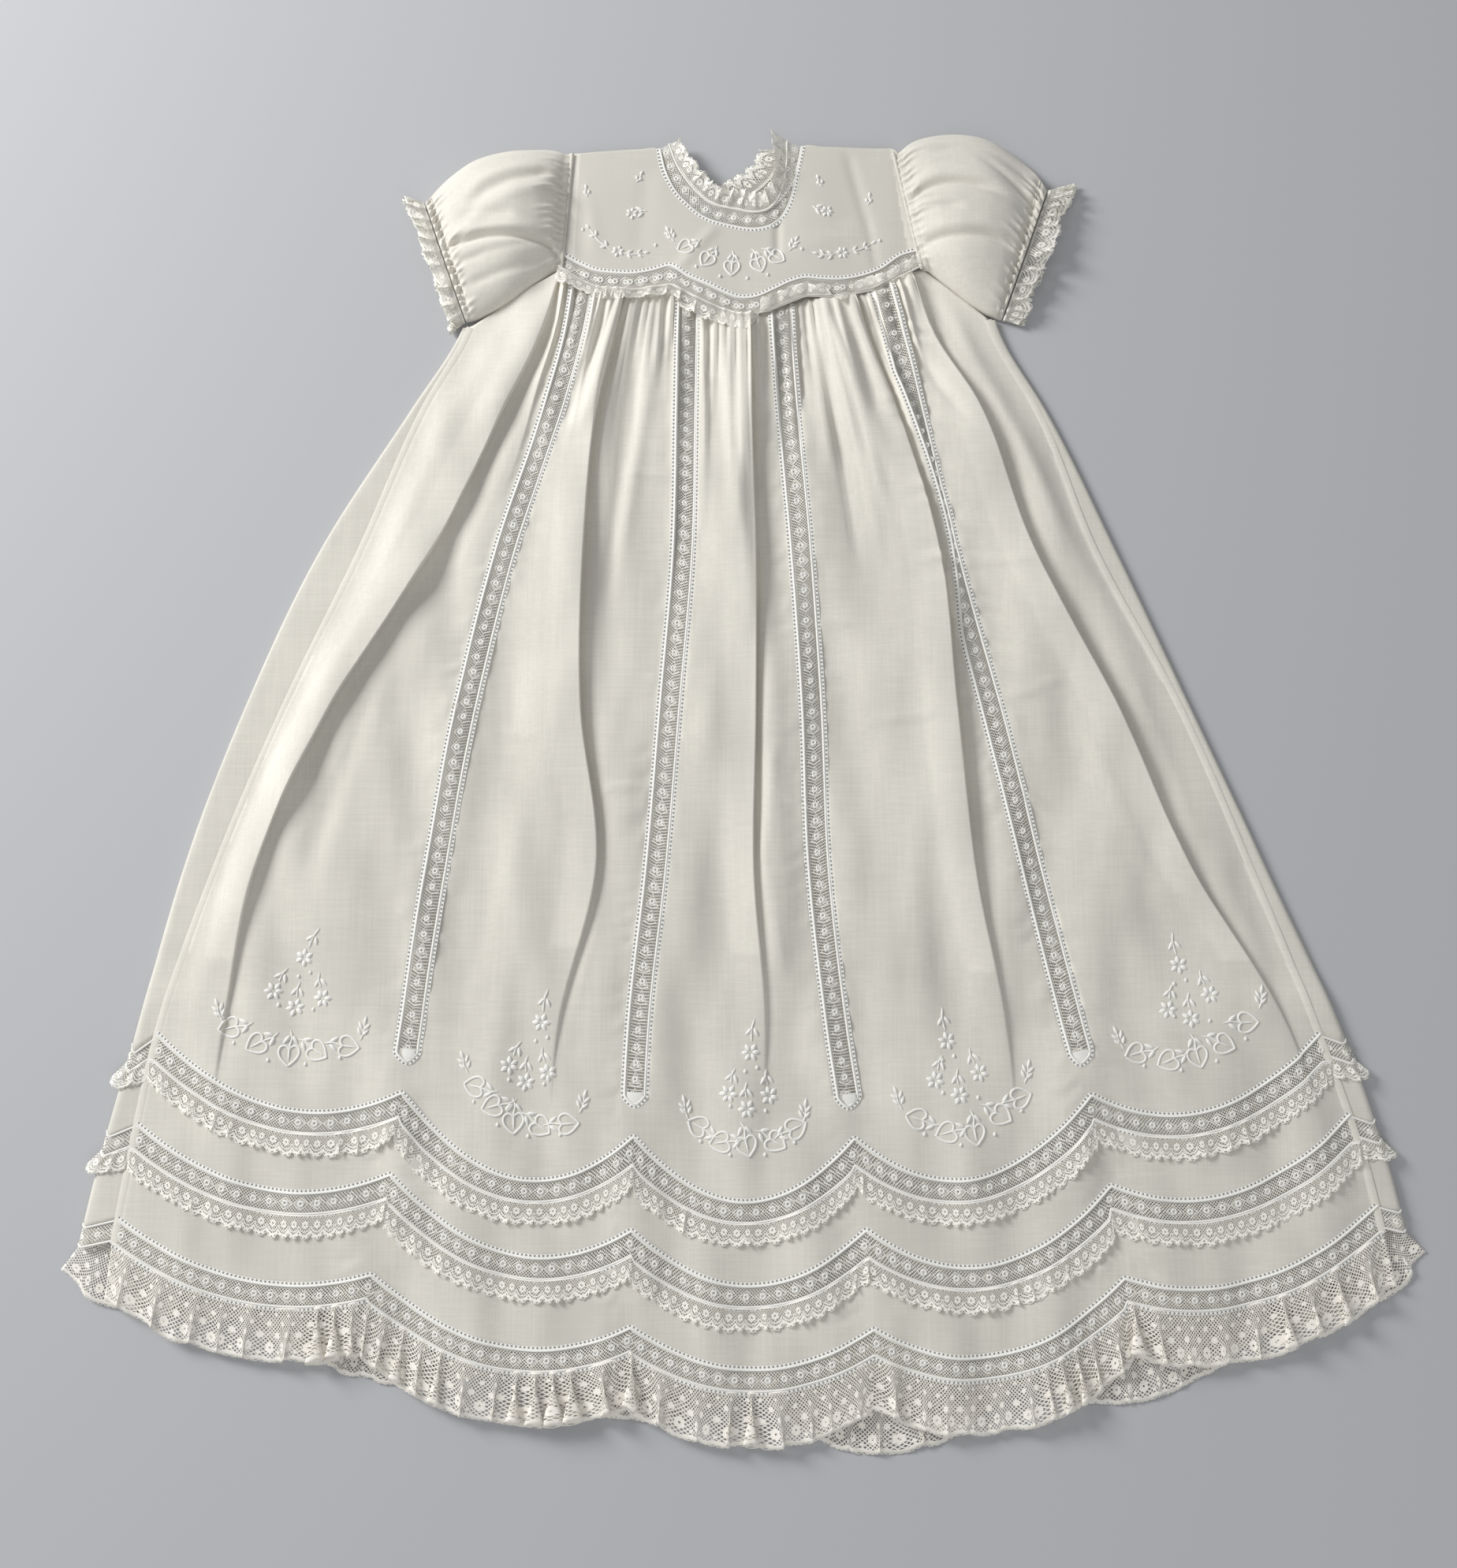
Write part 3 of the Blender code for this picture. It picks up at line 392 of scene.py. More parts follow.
def spline(at, knots, values):
    """A smooth curve through the knots, level beyond both ends."""
    knots = np.asarray(knots, float)
    values = np.asarray(values, float)
    at = np.clip(at, knots[0], knots[-1])
    slopes = np.gradient(values, knots)
    i = np.clip(np.searchsorted(knots, at) - 1, 0, len(knots) - 2)
    step = knots[i + 1] - knots[i]
    t = (at - knots[i]) / step
    rise = values[i + 1] - values[i]
    bend_in = slopes[i] * step - rise
    bend_out = rise - slopes[i + 1] * step
    return values[i] + t * rise + t * (1 - t) * ((1 - t) * bend_in + t * bend_out)


def smooth(t):
    t = np.clip(t, 0.0, 1.0)
    return t * t * (3 - 2 * t)


def table_at(table, at):
    """Each column of a table of stations, read at places from 0, its first row, to 1, its last."""
    rows = np.asarray(table, float)
    stations = np.linspace(0, 1, len(rows))
    return [spline(at, stations, column) for column in rows.T]


def down_gown(y, at_yoke, half_way, at_hem):
    late = 0.42 * half_way + 0.58 * at_hem
    return spline(-y, (-280, -150, 20, 112, 195), (at_yoke, half_way, half_way, late, at_hem))


def line_x(line, y):
    return spline(-np.asarray(y, float), LEVELS, LINES.get(line, line))


def top_edge(table, x):
    xs, ys = zip(*table)
    return np.interp(x, xs, ys)


def meet(path, edge, y=0.0):
    """Where a line down the skirt meets an edge across it."""
    for _ in range(8):
        y = float(edge(path(y)))
    return y


def scallops(peaks_x, peaks_y, depths, x):
    """Height of a scalloped edge, and its slope."""
    i = int(np.clip(np.searchsorted(peaks_x, x) - 1, 0, len(depths) - 1))
    span = peaks_x[i + 1] - peaks_x[i]
    t = min(max((x - peaks_x[i]) / span, 0.0), 1.0)
    y = peaks_y[i] + (peaks_y[i + 1] - peaks_y[i]) * t - 4 * depths[i] * t * (1 - t)
    slope = (peaks_y[i + 1] - peaks_y[i] - 4 * depths[i] * (1 - 2 * t)) / span
    return y, slope


@lru_cache(maxsize=None)
def front_peaks(row):
    return [float(line_x(line, y)) for line, y in zip(PEAK_LINES, FRONT_ROWS[row][0])]


@lru_cache(maxsize=None)
def back_peaks(row):
    return [float(back_x(s, y + BACK_RISES[row])) for s, y in zip(BACK_PEAK_SHARES, BACK_ROW[0])]


def front_row(row, x):
    return scallops(front_peaks(row), *FRONT_ROWS[row], x)


def back_row(row, x):
    return scallops(back_peaks(row), [y + BACK_RISES[row] for y in BACK_ROW[0]], BACK_ROW[1], x)


def back_x(share, y):
    left, right = line_x(SIDE_LEFT, y), line_x(SIDE_RIGHT, y)
    return left + EDGE_ROUND + (right - left - 2 * EDGE_ROUND) * share


def under_row(row, width):
    """The lower edge of lace of an even width under a scalloped edge of the front."""

    def edge(x):
        y, slope = front_row(row, x)
        return y - width * min(math.hypot(1, slope), MOST_SLANT)

    return edge


# Heights of the laid cloth

def raise_of_bands(x, y):
    start = BANDS_START - BANDS_DIP * (1 - (x / BANDS_HALF) ** 2)
    return BAND_RAISE * smooth((start + RAISE_RAMP - y) / RAISE_RAMP)


def crease_height(x, y, table):
    """Sum of straight creases at each point."""
    height = np.zeros_like(x)
    for x0, y0, x1, y1, rise, half in table:
        long = math.hypot(x1 - x0, y1 - y0)
        ux, uy = (x1 - x0) / long, (y1 - y0) / long
        along = ((x - x0) * ux + (y - y0) * uy) / long
        beside = (y - y0) * ux - (x - x0) * uy
        fade = smooth((along + FADE) / 2 / FADE) * smooth((1 + FADE - along) / 2 / FADE)
        height += rise * fade * np.exp(-((beside / half) ** 2))
    return height


def fold_height(x, y):
    """Rise of the deep folds, and how far their lips hang over."""
    height, lean = np.zeros_like(x), np.zeros_like(x)
    for line, rise, drop, width in DEEP_FOLDS:
        beside = x - line_x(line, y)
        up, sink, floor = (down_gown(y, *size) for size in (rise, drop, width))
        high = up * np.exp(-((np.minimum(beside, 0) / LIP_REACH) ** 2))
        step = up - (up + sink) * smooth(beside / LIP_STEP)
        low = -sink * (1 - smooth((beside - LIP_STEP) / np.maximum(floor - LIP_STEP, 1.0)))
        part = np.where(beside <= 0, high, np.where(beside < LIP_STEP, step, low))
        height += np.where(beside > floor, 0.0, part)
        over = np.where(
            beside <= 0,
            np.exp(-((beside / OVERHANG_REACH) ** 2)),
            1 - smooth(beside / LIP_STEP),
        )
        lean += OVERHANG * up / 5 * over
    return height, lean


def wander(rng, x, y, lengths, height, count=9):
    """Soft unevenness: a sum of slow waves that run mostly across the gown."""
    total = np.zeros_like(x + y)
    for _ in range(count):
        length = rng.uniform(*lengths)
        turn = rng.normal(0, 0.30)
        phase = rng.uniform(0, 2 * math.pi)
        total += np.sin(2 * math.pi * (x * math.cos(turn) + y * math.sin(turn)) / length + phase)
    return total * height / math.sqrt(count)


def uneven(rng, at, step, low=-1.0, high=1.0):
    """A random line that changes over each step."""
    first, last = float(np.min(at)) - step, float(np.max(at)) + 2 * step
    knots = np.arange(first, last, step)
    values = rng.uniform(low, high, len(knots))
    i = np.clip(((at - first) / step).astype(int), 0, len(knots) - 2)
    t = smooth((at - knots[i]) / step)
    return values[i] + (values[i + 1] - values[i]) * t


# Meshes

MERGED = 1e-6  # points closer than this, in metres, are one
ABOVE = 60.0  # from where points are dropped on to the cloth


def quads(rows, columns, wrap=False):
    """The point numbers of each cell of a grid; wrap joins the last column to the first."""
    index = np.arange(rows * columns).reshape(rows, columns)
    if wrap:
        index = np.concatenate([index, index[:, :1]], axis=1)
    return np.stack([index[:-1, :-1], index[1:, :-1], index[1:, 1:], index[:-1, 1:]], axis=-1)


def cut_places(along, across):
    """Places in a piece's own cut, from the lengths along it and across it."""
    return np.stack(np.broadcast_arrays(along, across), axis=-1)


def tree_of(grid):
    """A search tree of a grid of points, to lay other work on it."""
    faces = quads(*grid.shape[:2]).reshape(-1, 4)
    return BVHTree.FromPolygons([Vector(p) for p in grid.reshape(-1, 3)], faces.tolist())


def laid(points, tree, lift=0.05, fallback=4.0):
    """Points dropped on to the cloth below them."""
    out = []
    for x, y, *_ in points:
        hit = tree.ray_cast(Vector((x, y, ABOVE)), Vector((0, 0, -1)))
        out.append((x, y, (hit[0].z if hit[0] is not None else fallback) + lift))
    return np.array(out)


class Cloth:
    """Collects grids of points in millimetres and makes them one mesh."""

    def __init__(self, name):
        self.name = name
        self.points, self.faces, self.uvs, self.plies, self.count = [], [], [], [], 0

    def add(self, grid, uv=None, keep=None, wrap=False, flip=False, ply_and_painted_light=0.0):
        """One grid of points. keep says which cells stay, and flip turns it over.

        ply_and_painted_light is 0 where the cloth is single and 1 where it is turned in or laid double; it
        also lifts the colour as painted highlight on the deep folds' lips and the left sleeve.
        """
        shape = grid.shape[:2]
        faces = self.count + quads(*shape, wrap)
        if flip:
            faces = faces[..., ::-1]
        self.points.append(grid.reshape(-1, 3))
        self.faces.append((faces if keep is None else faces[keep]).reshape(-1, 4))
        self.uvs.append((grid[..., :2] if uv is None else uv).reshape(-1, 2))
        self.plies.append(np.broadcast_to(ply_and_painted_light, shape).ravel())
        self.count += shape[0] * shape[1]
        return self

    def in_batiste(self, stands_for):
        return self.make(batiste(), "batiste", sizes().cloth_wall, (stands_for,))

    def in_lace(self, kind, stands_for, width=None):
        return self.make(lace(kind, width), "lace", sizes().lace_wall, (stands_for,))

    def make(self, finish, slot, wall=0.0, replaces=()):
        points = np.concatenate(self.points) * MM
        faces = np.concatenate(self.faces)
        mesh = bpy.data.meshes.new(self.name)
        mesh.from_pydata(points.tolist(), [], faces.tolist())
        flat = np.concatenate(self.uvs) * MM
        layer = mesh.uv_layers.new(name="cut")
        order = np.empty(len(mesh.loops), np.int32)
        mesh.loops.foreach_get("vertex_index", order)
        layer.data.foreach_set("uv", flat[order].astype(np.float32).ravel())
        ply_and_painted_light = mesh.attributes.new("ply_and_painted_light", "FLOAT", "POINT")
        ply_and_painted_light.data.foreach_set("value", np.concatenate(self.plies).astype(np.float32))
        mesh.validate()
        mesh.materials.append(finish)
        piece = bpy.data.objects.new(self.name, mesh)
        bpy.context.scene.collection.objects.link(piece)
        finished(piece, wall)
        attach(piece, "root")
        if replaces:
            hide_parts(*replaces)
        return piece


def finished(piece, wall):
    """Drops unused points, gives the cloth its thickness and shades it smooth."""
    bpy.ops.object.select_all(action="DESELECT")
    piece.select_set(True)
    bpy.context.view_layer.objects.active = piece
    bpy.ops.object.mode_set(mode="EDIT")
    bpy.ops.mesh.select_all(action="SELECT")
    bpy.ops.mesh.delete_loose()
    bpy.ops.mesh.select_all(action="SELECT")
    bpy.ops.mesh.remove_doubles(threshold=MERGED)
    bpy.ops.object.mode_set(mode="OBJECT")
    if wall:
        solidify = piece.modifiers.new("wall", "SOLIDIFY")
        solidify.thickness = wall
        solidify.offset = -1
        bpy.ops.object.modifier_apply(modifier=solidify.name)
    bpy.ops.object.shade_smooth()


def lengths_along(points):
    steps = np.linalg.norm(np.diff(points, axis=0), axis=1)
    return np.concatenate([[0.0], np.cumsum(steps)])


def resample(points, step):
    """The line's points at even steps along it."""
    total = lengths_along(points)
    count = max(int(round(total[-1] / step)), 2)
    at = np.linspace(0, total[-1], count + 1)
    return np.stack([np.interp(at, total, points[:, k]) for k in range(3)], axis=1), at


def soften(values, times):
    """A line of values or points with its corners rounded."""
    values = values.copy()
    for _ in range(times):
        values[1:-1] = (values[:-2] + 2 * values[1:-1] + values[2:]) / 4
    return values


def unit(vectors):
    return vectors / np.maximum(np.linalg.norm(vectors, axis=-1, keepdims=True), 1e-9)


def beside_line(points):
    """Level unit vectors to the right of a line seen from above."""
    ahead = np.gradient(points, axis=0)
    side = np.stack([ahead[:, 1], -ahead[:, 0], np.zeros(len(points))], axis=1)
    return unit(side)


UP = np.array([0.0, 0.0, 1.0])
TAPE = ((-0.5, 0.0), (-0.38, 0.75), (0.0, 1.0), (0.38, 0.75), (0.5, 0.0))
LOW_TAPE = ((-0.5, 0.0), (0.0, 1.0), (0.5, 0.0))


def tape(cloth, points, width, height, widths=None, crown=TAPE):
    """A crowned tape, cord or satin stitch along a line that lies on the cloth."""
    points = np.asarray(points, float)
    side = beside_line(points)
    along = lengths_along(points)
    widths = np.full(len(points), width) if widths is None else widths
    rows = []
    tall = height * np.minimum(widths / width, 1.0)
    for across, up in crown:
        rows.append(points + side * (across * widths)[:, None] + UP * (up * tall)[:, None])
    grid = np.stack(rows[::-1])
    across = np.array([a for a, _ in crown])[::-1, None] * width
    cloth.add(grid, cut_places(along, across), flip=True)


# Finishes

class Formula:
    """A number in a node tree, so that ordinary arithmetic builds Math nodes."""

    def __init__(self, tree, socket):
        self.tree, self.socket = tree, socket

    def apply(self, operation, *others):
        node = self.tree.nodes.new("ShaderNodeMath")
        node.operation = operation
        for slot, value in zip(node.inputs, (self, *others)):
            if isinstance(value, Formula):
                self.tree.links.new(value.socket, slot)
            else:
                slot.default_value = value
        return Formula(self.tree, node.outputs[0])

    def __add__(self, other):
        return self.apply("ADD", other)

    def __sub__(self, other):
        return self.apply("SUBTRACT", other)

    def __mul__(self, other):
        return self.apply("MULTIPLY", other)

    def __truediv__(self, other):
        return self.apply("DIVIDE", other)

    def above(self, other):
        return self.apply("GREATER_THAN", other)

    def below(self, other):
        return self.apply("LESS_THAN", other)

    def most(self, other):
        return self.apply("MAXIMUM", other)

    def least(self, other):
        return self.apply("MINIMUM", other)

    def size(self):
        return self.apply("ABSOLUTE")

    def from_middle(self, period):
        """Signed distance from the middle of the repeat that the place is in."""
        return (self / period).apply("FRACT") * period - period / 2

    def reverse(self):
        return self.apply("MULTIPLY_ADD", -1.0, 1.0)

    def distance(self, other):
        return (self * self + other * other).apply("SQRT")


def group_tree(name, outputs, inputs=()):
    """A new shader node group with named sockets, and its input and output nodes."""
    tree = bpy.data.node_groups.new(name, "ShaderNodeTree")
    for label, kind, default in inputs:
        socket = tree.interface.new_socket(name=label, in_out="INPUT", socket_type=kind)
        if default is not None:
            socket.default_value = default
    for label, kind in outputs:
        tree.interface.new_socket(name=label, in_out="OUTPUT", socket_type=kind)
    return tree, tree.nodes.new("NodeGroupInput"), tree.nodes.new("NodeGroupOutput")


def cut_place(tree):
    """The two coordinates of the piece's own cut, in metres."""
    place = tree.nodes.new("ShaderNodeUVMap")
    place.uv_map = "cut"
    parts = tree.nodes.new("ShaderNodeSeparateXYZ")
    tree.links.new(place.outputs[0], parts.inputs[0])
    return Formula(tree, parts.outputs[0]), Formula(tree, parts.outputs[1])


def noise(tree, scale, detail=2.0, stretch=(1, 1, 1)):
    """Noise in Object coordinates; stretch draws it out along one of them."""
    place = tree.nodes.new("ShaderNodeTexCoord")
    mapping = tree.nodes.new("ShaderNodeMapping")
    mapping.inputs["Scale"].default_value = stretch
    cloud = tree.nodes.new("ShaderNodeTexNoise")
    cloud.inputs["Scale"].default_value = scale
    cloud.inputs["Detail"].default_value = detail
    tree.links.new(place.outputs["Object"], mapping.inputs[0])
    tree.links.new(mapping.outputs[0], cloud.inputs["Vector"])
    return Formula(tree, cloud.outputs["Fac"])


@lru_cache(maxsize=None)
def weave_group():
    """Plain weave with slubs: a height, and a mask of thicker threads."""
    tree, _, out = group_tree(
        "plain_weave", (("Height", "NodeSocketFloat"), ("Slubs", "NodeSocketFloat"))
    )
    u, v = cut_place(tree)
    thread = 0.00042
    over = (u * (2 * math.pi / thread)).apply("SINE") * (v * (2 * math.pi / thread)).apply("SINE")
    warp = noise(tree, 900, 2, (1, 0.03, 1))
    weft = noise(tree, 900, 2, (0.03, 1, 1))
    slubs = (warp + weft) * 0.5
    cloud = noise(tree, 14, 3)
    height = over * 0.35 + slubs * 1.2
    tree.links.new(height.socket, out.inputs["Height"])
    tree.links.new((slubs * 0.7 + cloud * 0.8 - 0.25).socket, out.inputs["Slubs"])
    return tree


@lru_cache(maxsize=None)
def net_group():
    """Diamond net: 1 on the threads and 0 in the holes."""
    tree, given, out = group_tree(
        "bobbin_net", (("Thread", "NodeSocketFloat"),),
        (("Mesh", "NodeSocketFloat", 0.0015), ("Thread share", "NodeSocketFloat", 0.28)),
    )
    u, v = cut_place(tree)
    mesh = Formula(tree, given.outputs["Mesh"])
    share = Formula(tree, given.outputs["Thread share"])
    wobble = (noise(tree, 260, 2) - 0.5) * 0.0009
    a = ((u + v + wobble) / mesh).apply("FRACT")
    b = ((u - v + wobble) / mesh).apply("FRACT")
    near_a = ((a - 0.5).size() * 2).above(share.reverse())
    near_b = ((b - 0.5).size() * 2).above(share.reverse())
    tree.links.new(near_a.most(near_b).socket, out.inputs["Thread"])
    return tree


def ring(x, y, inside, outside, lobes=0.0):
    """A ring, or with lobes the petals of a flower."""
    far = x.distance(y)
    if lobes:
        turn = y.apply("ARCTAN2", x)
        wave = (turn * 6).apply("COSINE") * lobes + 1.0
        far = far * wave
    return far.below(outside) * far.above(inside)


def flat_material(name, colour, roughness, sheen=0.0):
    made = bpy.data.materials.new(name)
    made.use_nodes = True
    shader = made.node_tree.nodes["Principled BSDF"]
    shader.inputs["Base Color"].default_value = (*colour, 1)
    shader.inputs["Roughness"].default_value = roughness
    shader.inputs["Specular IOR Level"].default_value = 0.25
    shader.inputs["Sheen Weight"].default_value = sheen
    shader.inputs["Sheen Roughness"].default_value = 0.6
    return made, made.node_tree, shader


def tinted(tree, shader, mask, dark, light):
    """Base colour between two shades of the same cloth."""
    mix = tree.nodes.new("ShaderNodeMix")
    mix.data_type = "RGBA"
    tree.links.new(mask.socket, mix.inputs["Factor"])
    mix.inputs["A"].default_value = (*dark, 1)
    mix.inputs["B"].default_value = (*light, 1)
    tree.links.new(mix.outputs["Result"], shader.inputs["Base Color"])


def raised_by(tree, shader, height, strength, depth):
    bump = tree.nodes.new("ShaderNodeBump")
    bump.inputs["Strength"].default_value = strength
    bump.inputs["Distance"].default_value = depth
    tree.links.new(height.socket, bump.inputs["Height"])
    tree.links.new(bump.outputs["Normal"], shader.inputs["Normal"])


def shade(colour, factor):
    return tuple(min(c * factor, 1.0) for c in colour)


@lru_cache(maxsize=None)
def batiste():
    """Sheer cotton: plain weave, slubs and a faint cloudiness."""
    colour = tuple(colours().batiste)
    made, tree, shader = flat_material("batiste", colour, 0.85, 0.15)
    weave = tree.nodes.new("ShaderNodeGroup")
    weave.node_tree = weave_group()
    slubs = Formula(tree, weave.outputs["Slubs"])
    doubled_and_highlit = tree.nodes.new("ShaderNodeAttribute")
    doubled_and_highlit.attribute_name = "ply_and_painted_light"
    ply_and_painted_light = Formula(tree, doubled_and_highlit.outputs["Fac"])
    # lighter where the cloth lies double, darker on the yoke's single cloth, and lighter again as painted
    # highlight on the deep folds' lips and the left sleeve
    mask = (slubs - 0.5) * 1.5 + ply_and_painted_light * 0.65 + 0.20
    tinted(tree, shader, mask, shade(colour, 0.85), shade(colour, 1.12))
    raised_by(tree, shader, Formula(tree, weave.outputs["Height"]), 0.35, 0.00012)
    return made


LACES = {
    # width, solid edge, depth and border of the scallops, shade of the net (partly painted shade from the
    # layers under it), repeat to each flower
    "insertion": dict(width=0.0105, heading=0.0009, scallop=0.0, border=0.0, net=0.91, repeat=1.0),
    "strip": dict(width=0.0105, heading=0.0009, scallop=0.0, border=0.0, net=0.84, repeat=1.0),
    "edging": dict(width=0.0125, heading=0.0011, scallop=0.0027, border=0.0007, net=0.90, repeat=0.85),
    "hem": dict(width=0.029, heading=0.0012, scallop=0.0012, border=0.0010, net=1.0, repeat=1.05),
    "neck": dict(width=0.0095, heading=0.0008, scallop=0.0, border=0.0, net=0.86, repeat=1.0),
}
GROUND = (1.0, 0.31)  # width of the net's mesh against the setting, and share of thread in it
HEM_GROUND = (1.25, 0.33)
ROSETTE = ((0.0, 0.5, 1.0, 0.0005, 0.0016, 0.16),)
MOTIFS = {
    # rings in each repeat: shares along it and across the lace, squeeze, both radii, lobes
    "edging": ((0.0, 0.44, 1.0, 0.0006, 0.0019, 0.14),),
    "hem": (
        (0.0, 0.74, 1.3, 0.0007, 0.0027, 0.10), (0.5, 0.52, 1.0, 0.0, 0.0017, 0.16),
        (0.0, 0.32, 1.0, 0.0, 0.0013, 0.12), (0.5, 0.83, 1.0, 0.0, 0.0009, 0.0),
        (0.5, 0.16, 1.0, 0.0, 0.0009, 0.0),
    ),
}
LINE_WORK = 0.00022  # half width of the diamonds' lines
LOOP_ROOM = 0.0012  # width kept for the loops outside the scallops
LOOP_STEP = 0.0021


def looped_edge(u, v, plan, width, repeat):
    """A scalloped edge: what lies inside it, and its solid border with a row of loops."""
    bow = (u.from_middle(repeat) * (math.pi / repeat)).apply("COSINE")
    edge = bow * plan["scallop"] + (width - plan["scallop"] - LOOP_ROOM)
    border = (v - edge).size().below(plan["border"])
    loops = ring(u.from_middle(LOOP_STEP), v - edge - 0.0010, 0.0005, 0.0011) * v.above(edge)
    return v.below(edge), border.most(loops)


@lru_cache(maxsize=None)
def lace(kind, width=None):
    """Net lace in its own cut: solid headings, net ground, worked motifs and a looped edge."""
    plan = LACES[kind]
    colour = tuple(colours().hem_lace if kind == "hem" else colours().lace)
    made, tree, shader = flat_material(f"{kind}_lace_{int((width or 0) * 1e4)}", colour, 0.85)
    width = width or plan["width"]
    repeat = sizes().motif_pitch * plan["repeat"]
    u, v = cut_place(tree)
    net = tree.nodes.new("ShaderNodeGroup")
    net.node_tree = net_group()
    mesh, share = HEM_GROUND if kind == "hem" else GROUND
    net.inputs["Mesh"].default_value = sizes().net_mesh * mesh
    net.inputs["Thread share"].default_value = share
    thread = Formula(tree, net.outputs["Thread"])
    worked = v.below(plan["heading"])
    for along, across, squeeze, inner, outer, lobes in MOTIFS.get(kind, ROSETTE):
        x = (u + repeat * along).from_middle(repeat) * squeeze
        worked = worked.most(ring(x, v - width * across, inner, outer, lobes))
    x = u.from_middle(repeat)
    if kind == "edging":
        arc = ring(x, v - width * 0.46, 0.0031, 0.0037)
        worked = worked.most(arc * v.above(width * 0.50))
    if plan["scallop"]:
        inside, border = looped_edge(u, v, plan, width, repeat)
        worked, thread = worked.most(border), thread * inside
    else:
        diamond = x.size() * 0.8 + (v - width / 2).size()
        worked = worked.most((diamond - width * 0.30).size().below(LINE_WORK))
        worked = worked.most(v.above(width - plan["heading"]))
    tree.links.new(thread.most(worked).socket, shader.inputs["Alpha"])
    # the net's threads are tinted darker than the worked motifs, partly for their thinness and partly as
    # painted shade
    tinted(tree, shader, worked, shade(colour, plan["net"]), shade(colour, 1.07))
    raised_by(tree, shader, worked * 0.7 + thread * 0.3, 0.5, 0.0003)
    return made


@lru_cache(maxsize=None)
def stitched():
    """Rolled and pin-stitched edge: bars of thread with a hole between each and the next; the holes are
    painted dark as shade, not cut.
    """
    colour = tuple(colours().thread)
    made, tree, shader = flat_material("pin_stitch", colour, 0.8)
    u, v = cut_place(tree)
    # each hole is a dark disc painted in the colour as the shade seen through it
    hole_painted_dark = u.from_middle(0.0023).distance(v - 0.0002).below(0.00058)
    tinted(tree, shader, hole_painted_dark.reverse(), shade(colour, 0.32), colour)
    twist = ((u * (2 * math.pi / 0.0007)) + v * 2600).apply("SINE")
    raised_by(tree, shader, twist * 0.3 - hole_painted_dark, 0.5, 0.0002)
    return made


@lru_cache(maxsize=None)
def satin():
    """Satin and stem stitch: close parallel threads with a soft shine."""
    colour = tuple(colours().thread)
    made, tree, shader = flat_material("embroidery_thread", colour, 0.55, 0.2)
    u, v = cut_place(tree)
    strands = (u * (2 * math.pi / 0.00045) + v * 1200).apply("SINE")
    # darker between the strands: painted shade in the grooves, on top of the bump
    tinted(tree, shader, strands * 0.5 + 0.5, shade(colour, 0.9), colour)
    raised_by(tree, shader, strands, 0.35, 0.0001)
    return made


# The front of the skirt

STEP = 3.1  # distance between columns half way down
TOP_STEP = 1.45  # and at the gathers
SIDE_STEP = 2.6
GATHERED = 104.0  # half width of the gathered part at the yoke
FOLD_FOOT = 2.7  # where the floor beside a deep fold starts
PANEL_ROWS = 186
BAND_ROWS = 18
LACE_ROWS = 7
END_POINT = 5.0  # how much higher the corners of a strip's end are than its point
STRIP_LAP = 8.0  # how far the panel is whole under that end
PLEAT_STEPS = (3.0, 5.8)  # from one gather to the next at the yoke
PLEAT_LENGTHS = (40, 70, 110, 165, 230)
PLEAT_SHARES = (0.2, 0.28, 0.24, 0.18, 0.1)  # how many are of each length


def front_anchors():
    """Groups of places across the front whose lines run the whole way down."""
    widths = {line: width for line, rise, drop, width in DEEP_FOLDS}
    groups = []
    for name in LINES:
        if name.startswith("strip"):
            offsets = [STRIP_HALF * share for share in (-1, -0.67, -0.33, 0, 0.33, 0.67, 1)]
            groups.append([(name, offset, None) for offset in offsets])
        elif name.startswith("fold"):
            near = [(name, offset, None) for offset in (-4.5, -2.4, -1.0, 0, 0.7, 1.4, 2.0, FOLD_FOOT)]
            groups.append(near + [(name, share, widths[name]) for share in (0.33, 0.67, 1.0)])
        else:
            groups.append([(name, 0, None)])
    return groups


def anchor_x(anchor, y):
    """A place beside a line, or at a share of the floor beside a fold."""
    name, beside, widths = anchor
    if widths:
        beside = FOLD_FOOT + (down_gown(y, *widths) - FOLD_FOOT) * beside
    return line_x(name, y) + beside


